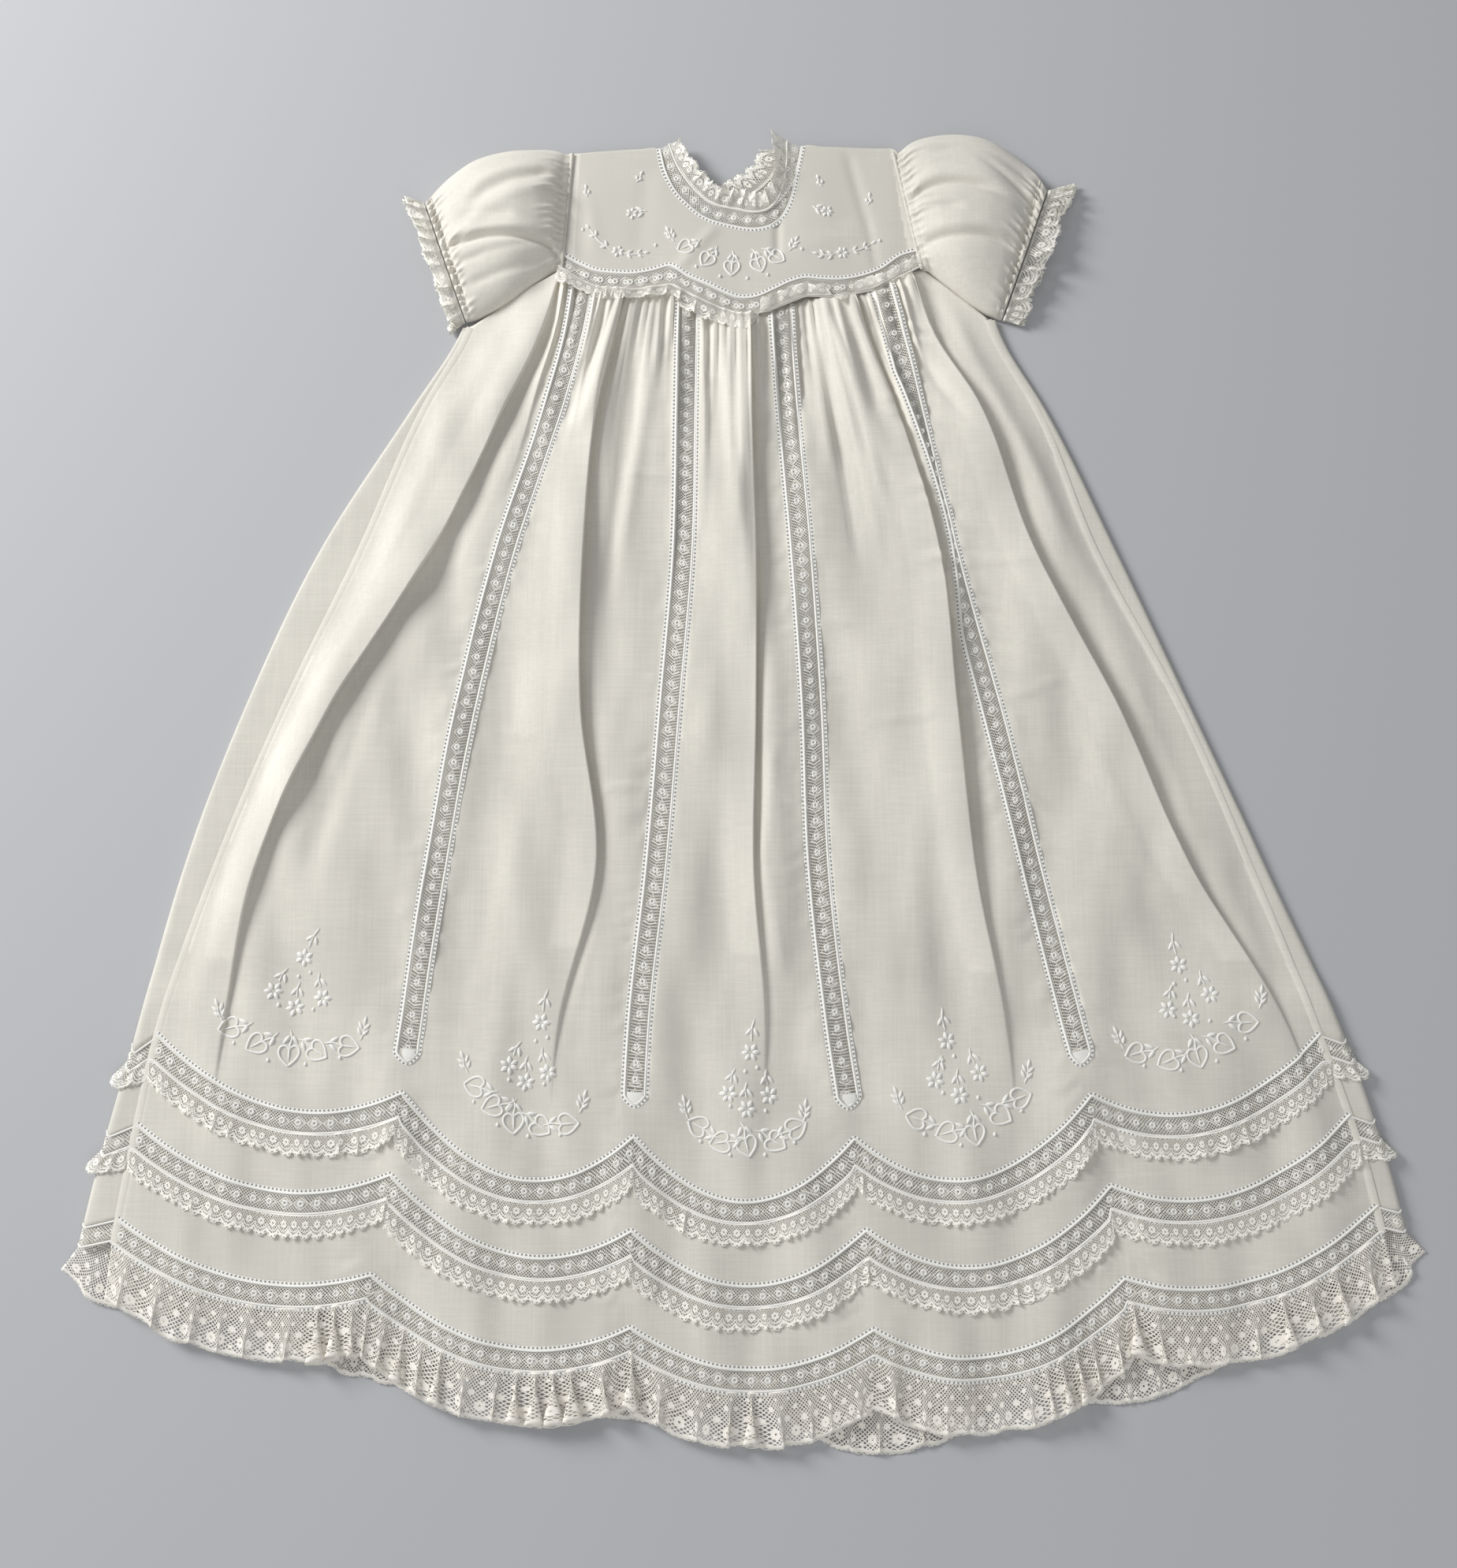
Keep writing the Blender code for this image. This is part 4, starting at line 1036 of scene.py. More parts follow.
class Front:
    """Points of the whole front of the skirt, shared by every piece sewn into it."""

    def __init__(self):
        rng = np.random.default_rng(17)
        self.paths, self.strip_columns = self.columns()
        tops = np.array([
            meet(path, lambda x: top_edge(SKIRT_TOP, x), 270.0) for path in self.paths
        ])
        heads = [self.heights(lambda x, r=r: front_row(r, x)[0]) for r in range(3)]
        feet = [self.heights(under_row(r, INSERTION)) for r in range(3)]
        edges = [tops, heads[0], feet[0], heads[1], feet[1], heads[2], feet[2]]
        counts = (PANEL_ROWS, LACE_ROWS, BAND_ROWS, LACE_ROWS, BAND_ROWS, LACE_ROWS)
        names = ("panel", "insertion_1", "band_1", "insertion_2", "band_2", "insertion_3")
        rows, self.parts, at = [], {}, 0
        for k, (name, count) in enumerate(zip(names, counts)):
            shares = np.linspace(0, 1, count)[:, None]
            block = edges[k] + (edges[k + 1] - edges[k]) * shares
            rows.append(block if k == 0 else block[1:])
            end = at + count - 1
            self.parts[name] = slice(at, end + 1)
            at = end
        y = np.concatenate(rows)
        x = np.stack([path(y[:, k]) for k, path in enumerate(self.paths)], axis=1)
        x = self.in_order(x)
        below = tops[None, :] - y
        height, lean = fold_height(x, y)
        z = REST_LIFT + height + crease_height(x, y, SOFT_FOLDS)
        z += self.gathers(rng, x, below)
        z += self.puckers(rng, x, y)
        z += wander(rng, x, y, (28, 95), 1.0) + wander(rng, x, y, (12, 30), 0.14)
        seam = np.minimum(x - line_x("seam_left", y), line_x("seam_right", y) - x)
        keep = smooth(seam / SEAM_CALM)
        at_seam = TUBE_EDGE - CLOTH - SEAM
        z = np.maximum(at_seam + (z - at_seam) * keep, LEAST_LIFT)
        z += 2 * CLOTH + SEAM + raise_of_bands(x, y)
        self.points = np.stack([x + lean * keep, y, z], axis=-1)
        self.ply_and_painted_light = self.doubled_and_highlit(x, y, below)

    def columns(self):
        groups = front_anchors()
        paths, strips = [], {}
        for k, group in enumerate(groups):
            if group[0][0].startswith("strip"):
                strips[group[0][0]] = (len(paths), len(paths) + len(group) - 1)
            paths += [lambda y, a=anchor: anchor_x(a, y) for anchor in group]
            if k + 1 == len(groups):
                break
            last, after = group[-1], groups[k + 1][0]
            ends = [(float(anchor_x(last, y)), float(anchor_x(after, y))) for y in (262.0, -60.0)]
            top_step = TOP_STEP if max(abs(ends[0][0]), abs(ends[0][1])) < GATHERED else SIDE_STEP
            need = max((ends[0][1] - ends[0][0]) / top_step, (ends[1][1] - ends[1][0]) / STEP)
            between = max(int(round(need)) - 1, 1)
            for n in range(1, between + 1):
                paths.append(
                    lambda y, a=last, b=after, s=n / (between + 1):
                    anchor_x(a, y) * (1 - s) + anchor_x(b, y) * s
                )
        return paths, strips

    def heights(self, edge):
        return np.array([meet(path, edge, -200.0) for path in self.paths])

    @staticmethod
    def in_order(x, least=0.22):
        """Columns that would cross are set a little apart, between the two seams."""
        steps = np.arange(x.shape[1]) * least
        x = np.maximum.accumulate(x - steps, axis=1) + steps
        return np.minimum(x, x[:, -1:] - steps[::-1])

    def gathers(self, rng, x, below):
        """Pleats that run down from the yoke's seam, each of its own length and height."""
        top = x[0]
        inside = np.flatnonzero(np.abs(top) < GATHERED - 1)
        height = np.zeros_like(x)
        place = 2 - GATHERED
        while place < GATHERED - 1:
            column = inside[np.argmin(np.abs(top[inside] - place))]
            long = rng.choice(PLEAT_LENGTHS, p=PLEAT_SHARES)
            long *= rng.uniform(0.8, 1.25)
            rise = sizes().gather_height / MM * rng.uniform(0.75, 1.3)
            half = rng.uniform(1.1, 1.8) + 0.014 * np.minimum(below, 200)
            fade = (1 - smooth(below / long)) * smooth((below + 2.5) / 8)
            sway = 0.4 * half * np.sin(below / rng.uniform(16, 40) + rng.uniform(0, 6))
            beside = x - x[:, column:column + 1] - sway
            skew = np.where(beside > 0, 0.55, 1.3)
            height += rise * fade * np.exp(-((np.abs(beside) / half / skew) ** 1.5))
            place += rng.uniform(*PLEAT_STEPS)
        return height - 0.45 * sizes().gather_height / MM * (1 - smooth(below / 90))

    def puckers(self, rng, x, y):
        """Short level creases that the stitching draws up beside each strip and seam."""
        total = np.zeros_like(x)
        for name in LINES:
            if name.startswith("fold"):
                continue
            half = STRIP_HALF if name.startswith("strip") else 0.0
            height = {"strip_4": 1.2, "seam_left": 0.6, "seam_right": 0.7}.get(name, 0.75)
            away = x - line_x(name, y)
            for side in (-1, 1):
                beside = side * away - half
                wave = uneven(rng, y + 0.25 * beside, 4.6)
                far = uneven(rng, y, 17.0, 4.0, 13.0)
                reach = smooth((beside - 1.5) / 3.0) * np.exp(-((beside / far) ** 2))
                total += np.where(beside > 0, height * wave * reach, 0.0)
        return total

    @staticmethod
    def doubled_and_highlit(x, y, below):
        """Where the cloth is turned in at a seam, or drawn up in folds over itself; the band beside each
        deep fold's lip is also a painted highlight where it faces the light.
        """
        ply_and_painted_light = 0.55 * (1 - smooth(below / 110))
        for line, rise, _, _ in DEEP_FOLDS:
            beside = x - line_x(line, y)
            # 17 mm on the lit side of each lip: partly cloth lying double, partly painted highlight
            band = smooth((beside + 17) / 5) * (beside < 1)
            ply_and_painted_light = np.maximum(ply_and_painted_light, 0.5 * band * (down_gown(y, *rise) > 2))
        for name in ("seam_left", "seam_right"):
            ply_and_painted_light = np.maximum(ply_and_painted_light, np.abs(x - line_x(name, y)) < 3.4)
        for name in LINES:
            if name.startswith("strip"):
                near = np.abs(np.abs(x - line_x(name, y)) - STRIP_HALF) < 2.2
                ply_and_painted_light = np.maximum(ply_and_painted_light, 0.8 * near * (y > STRIPS_END))
        return ply_and_painted_light

    def part(self, name):
        return self.points[self.parts[name]]

    def line(self, name, end):
        """The points along one edge of a part: its first or its last row."""
        return self.part(name)[0 if end == "head" else -1]

    def strip(self, name):
        """The first and the last column of a strip, and the height of its end's point."""
        first, last = self.strip_columns[name]
        return first, last, self.part("panel")[-1, (first + last) // 2, 1] + STRIP_END


def pointed(tip, share):
    """The end of a strip, at shares of half its width from its middle."""
    return tip + END_POINT * np.abs(share) ** 1.5


@lru_cache(maxsize=None)
def front():
    return Front()


@lru_cache(maxsize=None)
def front_tree():
    return tree_of(front().points)


# Operators, one for each piece or group of like pieces

class GownOperator:
    bl_options = {"REGISTER", "UNDO"}

    def execute(self, context):
        self.build()
        return {"FINISHED"}


class FrontSkirt(GownOperator, bpy.types.Operator):
    """Cut the front panel, open under its four lace strips"""

    bl_idname = "gown.front_skirt"
    bl_label = "Front skirt"

    def build(self):
        grid, ply_and_painted_light = front().part("panel"), front().ply_and_painted_light[front().parts["panel"]]
        keep = np.ones((grid.shape[0] - 1, grid.shape[1] - 1), bool)
        for name in front().strip_columns:
            first, last, tip = front().strip(name)
            keep[:, first:last] &= grid[:-1, first:last, 1] < tip + STRIP_LAP
        piece = Cloth("skirt_front").add(grid, keep=keep, ply_and_painted_light=ply_and_painted_light).in_batiste("front_skirt")


class HemRows(GownOperator, bpy.types.Operator):
    """Let in the three shaped rows of lace and sew the two bands between them"""

    bl_idname = "gown.hem_rows"
    bl_label = "Shaped rows of lace"

    def build(self):
        for k in (1, 2, 3):
            grid = front().part(f"insertion_{k}")
            across = np.linspace(0, INSERTION, len(grid))[:, None]
            uv = cut_places(lengths_along(grid[len(grid) // 2]), across)
            cloth = Cloth(f"insertion_{k}_front").add(grid, uv)
            piece = cloth.in_lace("insertion", f"front_insertion_{k}")
        for k in (1, 2):
            grid, ply_and_painted_light = front().part(f"band_{k}"), front().ply_and_painted_light[front().parts[f"band_{k}"]]
            piece = Cloth(f"band_{k}_front").add(grid, ply_and_painted_light=ply_and_painted_light).in_batiste(f"front_band_{k}")


class Strips(GownOperator, bpy.types.Operator):
    """Let in the four strips of lace down the skirt"""

    bl_idname = "gown.strips"
    bl_label = "Lace strips"

    def build(self):
        for k, name in enumerate(front().strip_columns, 1):
            first, last, tip = front().strip(name)
            part = front().part("panel")[:, first:last + 1].copy()
            middle = part[:, part.shape[1] // 2]
            ends = pointed(tip, np.linspace(-1, 1, part.shape[1]))
            part = part[middle[:, 1] > tip + 6]
            last_row = laid([(x, y, 0) for x, y in zip(part[-1, :, 0], ends)], front_tree(), 0.1)
            part = np.concatenate([part, last_row[None]])
            part[..., 2] += 0.1
            down = lengths_along(part[:, part.shape[1] // 2])[:, None]
            across = np.linspace(0, INSERTION, part.shape[1])[None, :]
            cloth = Cloth(f"lace_strip_{k}").add(part, cut_places(down, across))
            piece = cloth.in_lace("strip", f"skirt_strip_{k}")


FULLNESS = 1.25  # length of gathered lace on each length of seam


def frill_grid(head, down, width, rng, waves, rise, lean, step=0.8, rows=9, fall=0.0):
    """Gathered lace along a seam: its points and its place in its own cut.

    waves are the least and the most length of a gather; rise and lean are its height and sway.
    """
    line, along = resample(head, step)
    total = lengths_along(head)
    fall_line = unit(np.stack([np.interp(along, total, down[:, k]) for k in range(3)], axis=1))
    places, folds = [0.0], 0
    while places[-1] < along[-1]:
        places.append(places[-1] + waves[0] + (waves[1] - waves[0]) * rng.random() ** 1.6)
        folds += 1
    phase = np.interp(along, places, np.arange(folds + 1) * 2 * math.pi)
    strength = soften(uneven(rng, along, sum(waves) * 0.7, 0.1, 1.25), 8)
    ahead = unit(np.gradient(line, axis=0))
    widths = width * (1 + 0.05 * uneven(rng, along, 11.0))
    ripple = uneven(rng, along, 3.0)
    grid, uv = [], []
    for v in np.linspace(0, 1, rows):
        opened = 0.18 + 0.82 * v
        up = rise * opened * strength * (0.5 - 0.5 * np.cos(phase)) + fall * v
        up += 0.14 * rise * v * v * (1 + ripple)
        sideways = lean * v * strength * np.sin(phase)
        reach = widths * v * (1 - 0.10 * strength * (0.5 - 0.5 * np.cos(phase)))
        grid.append(line + fall_line * reach[:, None] + ahead * sideways[:, None] + UP * up[:, None])
        uv.append(np.stack([along * FULLNESS, np.full(len(along), v * width)], axis=1))
    return np.stack(grid), np.stack(uv)


def straight_down(points, bend=0.55, calm=60):
    """The way a frill falls: towards the hem, leaning with its seam."""
    side = beside_line(points)
    side = soften(side, calm)
    down = np.array([0.0, -1.0, 0.0])
    return unit(side * bend + down * (1 - bend))


class Frills(GownOperator, bpy.types.Operator):
    """Gather the narrow lace on to the first two rows, and the wide lace on to the hem"""

    bl_idname = "gown.frills"
    bl_label = "Frills"

    def build(self):
        rng = np.random.default_rng(23)
        for k in (1, 2):
            head = front().line(f"insertion_{k}", "foot") + UP * 0.35
            grid, uv = frill_grid(
                head, straight_down(head), EDGING + 1.0, rng,
                waves=(8, 34), rise=1.7, lean=2.2, fall=0.4,
            )
            cloth = Cloth(f"edging_{k}_front").add(grid, uv)
            piece = cloth.in_lace("edging", f"front_edging_{k}")
        head = front().line("insertion_3", "foot")
        grid, uv = frill_grid(
            head, straight_down(head, 0.4, 90), HEM_LACE, rng,
            waves=(8, 27), rise=4.6, lean=7.0, step=0.7, rows=12, fall=-1.2,
        )
        piece = Cloth("hem_lace_front").add(grid, uv).in_lace("hem", "front_hem_lace")


# Cords, pin stitch and embroidery

def strip_outline(name):
    """The edge of one strip: down its left side, round its end and up its right side."""
    first, last, tip = front().strip(name)
    grid = front().part("panel")
    left = grid[grid[:, first, 1] > tip + 5.5, first]
    right = grid[grid[:, last, 1] > tip + 5.5, last]
    share = np.linspace(-1, 1, 15)
    end_x = left[-1, 0] + (right[-1, 0] - left[-1, 0]) * (share + 1) / 2
    end = np.stack([end_x, pointed(tip, share), share * 0], axis=1)
    return np.concatenate([left, laid(end, front_tree()), right[::-1]])


class LaceSeams(GownOperator, bpy.types.Operator):
    """Sew a white cord and a row of pin stitch along both edges of each lace"""

    bl_idname = "gown.lace_seams"
    bl_label = "Cords and pin stitch"

    CORD = 1.15
    CORD_RISE = 0.5
    HOLES = 1.9  # width of the row of pin stitch outside the cord
    STITCH_STEP = 1.3
    SIDE_SEAM = (4.0, 0.16)  # width and height

    def seam(self, cord, stitch, points, tree, outer=1):
        """outer is 1 where the cloth lies to the right of the line, and -1 where to the left."""
        line, _ = resample(np.asarray(points, float), self.STITCH_STEP)
        line[:, 2] = soften(line[:, 2], 3)
        tape(cord, line + UP * 0.14, self.CORD, self.CORD_RISE)
        if outer < 0:
            line = line[::-1]
        beside = line + beside_line(line) * (self.CORD / 2 + self.HOLES / 2 - 0.25)
        on = laid(beside, tree, 0.0, -9.0)
        beside[:, 2] = soften(np.maximum(beside[:, 2], on[:, 2]), 3)
        tape(stitch, beside + UP * 0.12, self.HOLES, 0.16, crown=LOW_TAPE)

    def darned_end(self, cord, name):
        """The close darning over the last of a strip."""
        share = np.linspace(0, 1, 9)
        down = front().strip(name)[2] + 6.5 * (1 - share) + 0.3
        x = line_x(name, down)
        line = laid(np.stack([x, down, share * 0], axis=1), front_tree(), 0.15)
        tape(cord, line, 8.6, 0.35, widths=8.6 * np.sqrt(np.clip(1 - share ** 3, 0.02, 1)))

    def back_cords(self, cord):
        """The ends of the back's rows that show on its folded sides."""
        for row in range(3):
            for below in (0.0, INSERTION):
                line = back().edge_line(row, below)
                for end in (line[:CORDED], line[-CORDED:]):
                    tape(cord, resample(end, self.STITCH_STEP)[0] + UP * 0.1, self.CORD, self.CORD_RISE)

    def side_seams(self):
        turned = Cloth("side_seams")
        for column, side in ((0, 1), (-1, -1)):
            line, _ = resample(front().points[:, column], 2.5)
            line[:, 0] += side * 0.9
            tape(turned, line + UP * 0.04, *self.SIDE_SEAM)
        turned.plies = [part + 0.7 for part in turned.plies]
        turned.make(batiste(), "batiste")

    def build(self):
        cord, stitch = Cloth("lace_cords"), Cloth("pin_stitch")
        for k in (1, 2, 3):
            self.seam(cord, stitch, front().line(f"insertion_{k}", "head"), front_tree(), -1)
            self.seam(cord, stitch, front().line(f"insertion_{k}", "foot"), front_tree())
        for name in front().strip_columns:
            self.seam(cord, stitch, strip_outline(name), front_tree())
            self.darned_end(cord, name)
        head, foot = yoke_lace_lines()
        self.seam(cord, stitch, head, yoke_tree(), -1)
        tape(cord, resample(foot, 0.9)[0] + UP * 0.3, self.CORD, 0.7)
        for _, table, base, _ in NECK_LACES:
            edge = neck_grid(table, 0, 1, 2, 160, base)
            self.seam(cord, stitch, edge[0] + UP * 0.1, yoke_tree())
            middle = neck_grid(table, NECK_SHARE, 1, 2, 160, base)
            tape(cord, middle[0] + UP * 0.3, 0.9, 0.5)
        self.back_cords(cord)
        for made, finish in ((cord, satin()), (stitch, stitched())):
            made.make(finish, "lace")
        self.side_seams()


class RingFlowers(GownOperator, bpy.types.Operator):
    """Work the raised rings of the small flowers along the lace"""

    bl_idname = "gown.ring_flowers"
    bl_label = "Lace flowers"

    PETALS = 6
    STEPS = 12

    def flower(self, cloth, place, ahead, radius):
        """A small ring with six lobes, in the plane of the lace."""
        side = np.cross(UP, ahead)
        turn = np.linspace(0, 2 * math.pi, self.STEPS, endpoint=False)
        lobes = 1 + 0.16 * np.cos(turn * self.PETALS)
        way = np.cos(turn)[:, None] * ahead + np.sin(turn)[:, None] * side
        rows = []
        for share, up in ((0.38, 0.05), (0.70, 0.42), (1.0, 0.05)):
            rows.append(place + way * (radius * share * lobes)[:, None] + UP * up)
        cloth.add(np.stack(rows), wrap=True)

    def along(self, cloth, middle, radius=1.85):
        total = lengths_along(middle)
        pitch = sizes().motif_pitch / MM
        at = np.arange(pitch / 2, total[-1] - pitch / 4, pitch)
        places = np.stack([np.interp(at, total, middle[:, k]) for k in range(3)], axis=1)
        ways = unit(np.gradient(places, axis=0))
        for place, way in zip(places, ways):
            self.flower(cloth, place + UP * 0.08, way, radius)

    def build(self):
        cloth = Cloth("lace_flowers")
        for k in (1, 2, 3):
            grid = front().part(f"insertion_{k}")
            self.along(cloth, grid[len(grid) // 2])
        for name in front().strip_columns:
            first, last, tip = front().strip(name)
            line = front().part("panel")[:, (first + last) // 2]
            self.along(cloth, line[line[:, 1] > tip + 6], 1.7)
        head, foot = yoke_lace_lines()
        self.along(cloth, ((head + foot) / 2 + UP * 0.2)[7:-7])
        for _, table, base, _ in NECK_LACES:
            self.along(cloth, neck_grid(table, NECK_SHARE / 2, 1, 2, 90, base)[0], 1.6)
        cloth.make(satin(), "lace")


class Needlework:
    """Stitches drawn flat, then laid on the cloth below them."""

    def __init__(self, name, tree):
        self.cloth, self.tree = Cloth(name), tree
        self.rng = np.random.default_rng(61)

    def stem(self, points, width=0.95, taper=True):
        points = np.asarray(points, float)
        at = lengths_along(points)
        fine = np.linspace(0, at[-1], max(int(at[-1] / 0.8), 3) + 1)
        line = np.stack([spline(fine, at, points[:, k]) for k in range(2)], axis=1)
        share = fine / fine[-1]
        widths = width * (np.minimum(1, 0.35 + 4 * np.minimum(share, 1 - share)) if taper else 1)
        tape(self.cloth, laid(line, self.tree), width, 0.5, widths=widths * np.ones(len(fine)))

    def leaf(self, base, tip, width=2.1):
        """A padded satin-stitched leaf."""
        base, tip = np.asarray(base, float), np.asarray(tip, float)
        share = np.linspace(0, 1, 7)
        line = base + (tip - base) * share[:, None]
        widths = np.maximum(width * np.sin(math.pi * share ** 0.85) ** 0.8, 0.15)
        tape(self.cloth, laid(line, self.tree), width, 0.75, widths=widths)

    @staticmethod
    def axes(turn):
        a = math.radians(turn)
        return np.array([math.cos(a), math.sin(a)]), np.array([-math.sin(a), math.cos(a)])

    def flower(self, x, y, turn, long=8.0, reach=4.6, leaves=True):
        """Six petals round an open centre, on a stem with two leaves."""
        centre = np.array([x, y], float)
        start = self.rng.uniform(0, 60)
        for k in range(6):
            way, _ = self.axes(start + 60 * k + self.rng.uniform(-6, 6))
            self.leaf(centre + way * 0.9, centre + way * reach, reach * 0.5)
        if long:
            up, side = self.axes(turn)
            self.stem([
                centre + up * (reach + 0.4), centre + up * (reach + long * 0.55) + side * 0.7,
                centre + up * (reach + long) - side * 0.4,
            ])
            if leaves:
                node = centre + up * (reach + long * 0.62)
                self.leaf(node + side * 0.4, node - up * 4.4 + side * 3.8, 1.9)
                self.leaf(node - side * 0.4, node - up * 4.6 - side * 3.2, 1.9)

    def heart(self, x, y, turn, size=1.0):
        """A heart-shaped leaf in outline, its rib running on as a stem with two leaves."""
        ahead, side = self.axes(turn)
        middle = np.array([x, y], float) - ahead * 5.4 * size
        for hand in (-1, 1):
            edge = [middle + (ahead * a + side * hand * b) * size for a, b in HEART]
            self.stem(edge, 1.25, taper=False)
        self.stem([
            middle + ahead * 8.2 * size, middle + side * 0.2, middle - ahead * 4.4 * size + side * 0.9,
            middle - ahead * 8.6 * size - side * 0.2,
        ], 1.0)
        node = middle - ahead * 5.6 * size + side * 0.4
        for hand in (-1, 1):
            base = node + side * hand * 0.5
            self.leaf(base, node + (ahead * 4.6 + side * hand * 4.0) * size, 2.1 * size)

    def sprig(self, x, y, turn, long=13.0, pairs=2):
        """A curved twig with a leaf at its tip and pairs below."""
        up, side = self.axes(turn)
        foot = np.array([x, y], float) - up * long * 0.45
        bend = 0.8 if turn > 90 else -0.8
        self.stem([foot, foot + up * long * 0.4 + side * bend, foot + up * long * 0.72], 0.85)
        self.leaf(foot + up * long * 0.66, foot + up * long * 1.05, 1.8)
        for k in range(pairs):
            node = foot + up * long * (0.22 + 0.24 * k)
            for hand in (-1, 1):
                tip = node + (up * 3.9 + side * hand * 3.3) * (long / 13)
                self.leaf(node + side * hand * 0.5, tip, 1.7)

    def dot(self, x, y, turn=90.0):
        up, _ = self.axes(turn)
        place = np.array([x, y], float)
        self.leaf(place - up * 1.3, place + up * 1.3, 1.9)


@lru_cache(maxsize=None)
def yoke_tree():
    return tree_of(yoke_points())


class Embroidery(GownOperator, bpy.types.Operator):
    """Work the white flowers, heart leaves and sprigs on the skirt and the yoke"""

    bl_idname = "gown.embroidery"
    bl_label = "Embroidery"

    def group(self, work, flowers, hearts, sprigs):
        for k, (x, y, turn) in enumerate(flowers):
            work.flower(x, y, turn, long=13.0 if k == 0 else 9.0, reach=5.2)
        for x, y, turn in hearts:
            work.heart(x, y, turn)
        for x, y, turn in sprigs:
            work.sprig(x, y, turn)
        top, low = np.array(flowers[0][:2]), np.array(flowers[2][:2])
        for x, y in (top + (3.5, -8), top + (-3, -10), low + (-9, 1.5), low + (10, -1)):
            work.dot(x, y, 80)
        for a, b in zip(hearts, hearts[1:]):
            x, y = (a[0] + b[0]) / 2, (a[1] + b[1]) / 2
            away = unit(np.array([x - low[0], y - low[1] - 6]))
            work.dot(x + away[0] * 5.5, y + away[1] * 5.5, 80)

    def build(self):
        skirt = Needlework("skirt_embroidery", front_tree())
        for flowers, hearts, sprigs in GROUPS:
            self.group(skirt, flowers, hearts, sprigs)
        skirt.cloth.make(satin(), "batiste")
        yoke = Needlework("yoke_embroidery", yoke_tree())
        for k, (x, y, turn) in enumerate(YOKE_FLOWERS):
            yoke.flower(x, y, turn, long=5.0 if k < 2 else 0, reach=3.9)
        for x, y, turn in YOKE_HEARTS:
            yoke.heart(x, y, turn, 0.82)
        for x, y, turn, long in YOKE_TWIGS:
            yoke.sprig(x, y, turn, long, 1 if long < 10 else 2)
        for branch in YOKE_BRANCHES:
            yoke.stem(branch, 0.8)
            points = np.asarray(branch, float)
            for k, (a, b) in enumerate(zip(points, points[1:])):
                way = unit(b - a)
                side = np.array([-way[1], way[0]])
                for hand in (-1, 1):
                    base = a + (b - a) * 0.4 + side * hand * 0.4
                    yoke.leaf(base, base + way * 3.0 + side * hand * 2.4, 1.6)
            yoke.leaf(points[-1], points[-1] + unit(points[-1] - points[-2]) * 4.0, 1.7)
        for x, y in YOKE_DOTS:
            yoke.dot(x, y)
        yoke.cloth.make(satin(), "batiste")


# The back, of which the folded sides and the hem show

BACK_COLUMNS = 110
WRAP_STEPS = 7  # round each fold
WRAP_INNER = 7  # and from it to the seam
CORDED = 11  # points on each folded side that carry a cord


def back_section(y, shares):
    """Points across the back at one height, folded up and over at both sides."""
    z = raise_of_bands(back_x(shares, y), y)
    floor = np.stack([back_x(shares, y), np.broadcast_to(y, shares.shape), z], axis=1)
    sides = []
    for side, seam, edge, at in ((-1, "seam_left", SIDE_LEFT, 0), (1, "seam_right", SIDE_RIGHT, -1)):
        seam_x = float(line_x(seam, y[at])) - side * 0.6
        edge_x = side * max(side * float(line_x(edge, y[at])), side * seam_x + WRAP_LEAST)
        half = (TUBE_EDGE + CLOTH) / 2
        turn = np.linspace(0, math.pi, WRAP_STEPS)[1:]
        x = edge_x - side * EDGE_ROUND * (1 - np.sin(turn))
        up = z[at] + half * (1 - np.cos(turn))
        fall = float(np.interp(-y[at], FALL_LEVELS, SIDE_FALLS[seam]))
        fold = np.stack([x, y[at] - fall * (1 - np.cos(turn)) / 2, up], axis=1)
        inner = np.linspace(0, 1, WRAP_INNER + 1)[1:, None]
        under = [seam_x - side * 3.0, y[at], z[at] + 2 * half - 0.55]
        over = fold[-1] + (np.array(under) - fold[-1]) * inner
        sides.append(np.concatenate([fold, over]))
    return np.concatenate([sides[0][::-1], floor, sides[1]])


class Back:
    """Points of the whole back of the skirt, with both folded sides."""

    def __init__(self):
        self.shares = np.linspace(0, 1, BACK_COLUMNS)
        paths = [lambda y, s=s: back_x(s, y) for s in self.shares]
        self.top = np.array([
            meet(path, lambda x: top_edge(BACK_TOP, x), 270.0) for path in paths
        ])
        self.heads = [
            np.array([meet(path, lambda x, r=r: back_row(r, x)[0], -200.0) for path in paths])
            for r in range(3)
        ]

    def side_heights(self, row):
        """The front's own height at both seams, so that the rows meet there."""
        return [
            meet(lambda y, n=name: line_x(n, y), lambda x: front_row(row, x)[0], -200.0)
            for name in ("seam_left", "seam_right")
        ]

    def start(self):
        ends = [
            meet(lambda y, n=name: line_x(n, y), lambda x: top_edge(SKIRT_TOP, x), 270.0)
            for name in ("seam_left", "seam_right")
        ]
        return self.top, ends

    def edge(self, row, below=0.0):
        """Heights across the back of one row's edge, and at the two folded sides."""
        return self.heads[row] - below, [y - below for y in self.side_heights(row)]

    def edge_line(self, row, below):
        edge = self.edge(row, below)
        return self.sheet(edge, edge, 1)[0]

    def sheet(self, upper, lower, rows):
        """A grid between two such edges."""
        grid = []
        wrap = WRAP_STEPS - 1 + WRAP_INNER
        for t in np.linspace(0, 1, rows):
            inside = upper[0] + (lower[0] - upper[0]) * t
            ends = [a + (b - a) * t for a, b in zip(upper[1], lower[1])]
            section = back_section(inside, self.shares)
            outer = [back_section(np.full(len(inside), end), self.shares) for end in ends]
            section[:wrap] = outer[0][:wrap]
            section[-wrap:] = outer[1][-wrap:]
            grid.append(section)
        return np.stack(grid)


@lru_cache(maxsize=None)
def back():
    return Back()


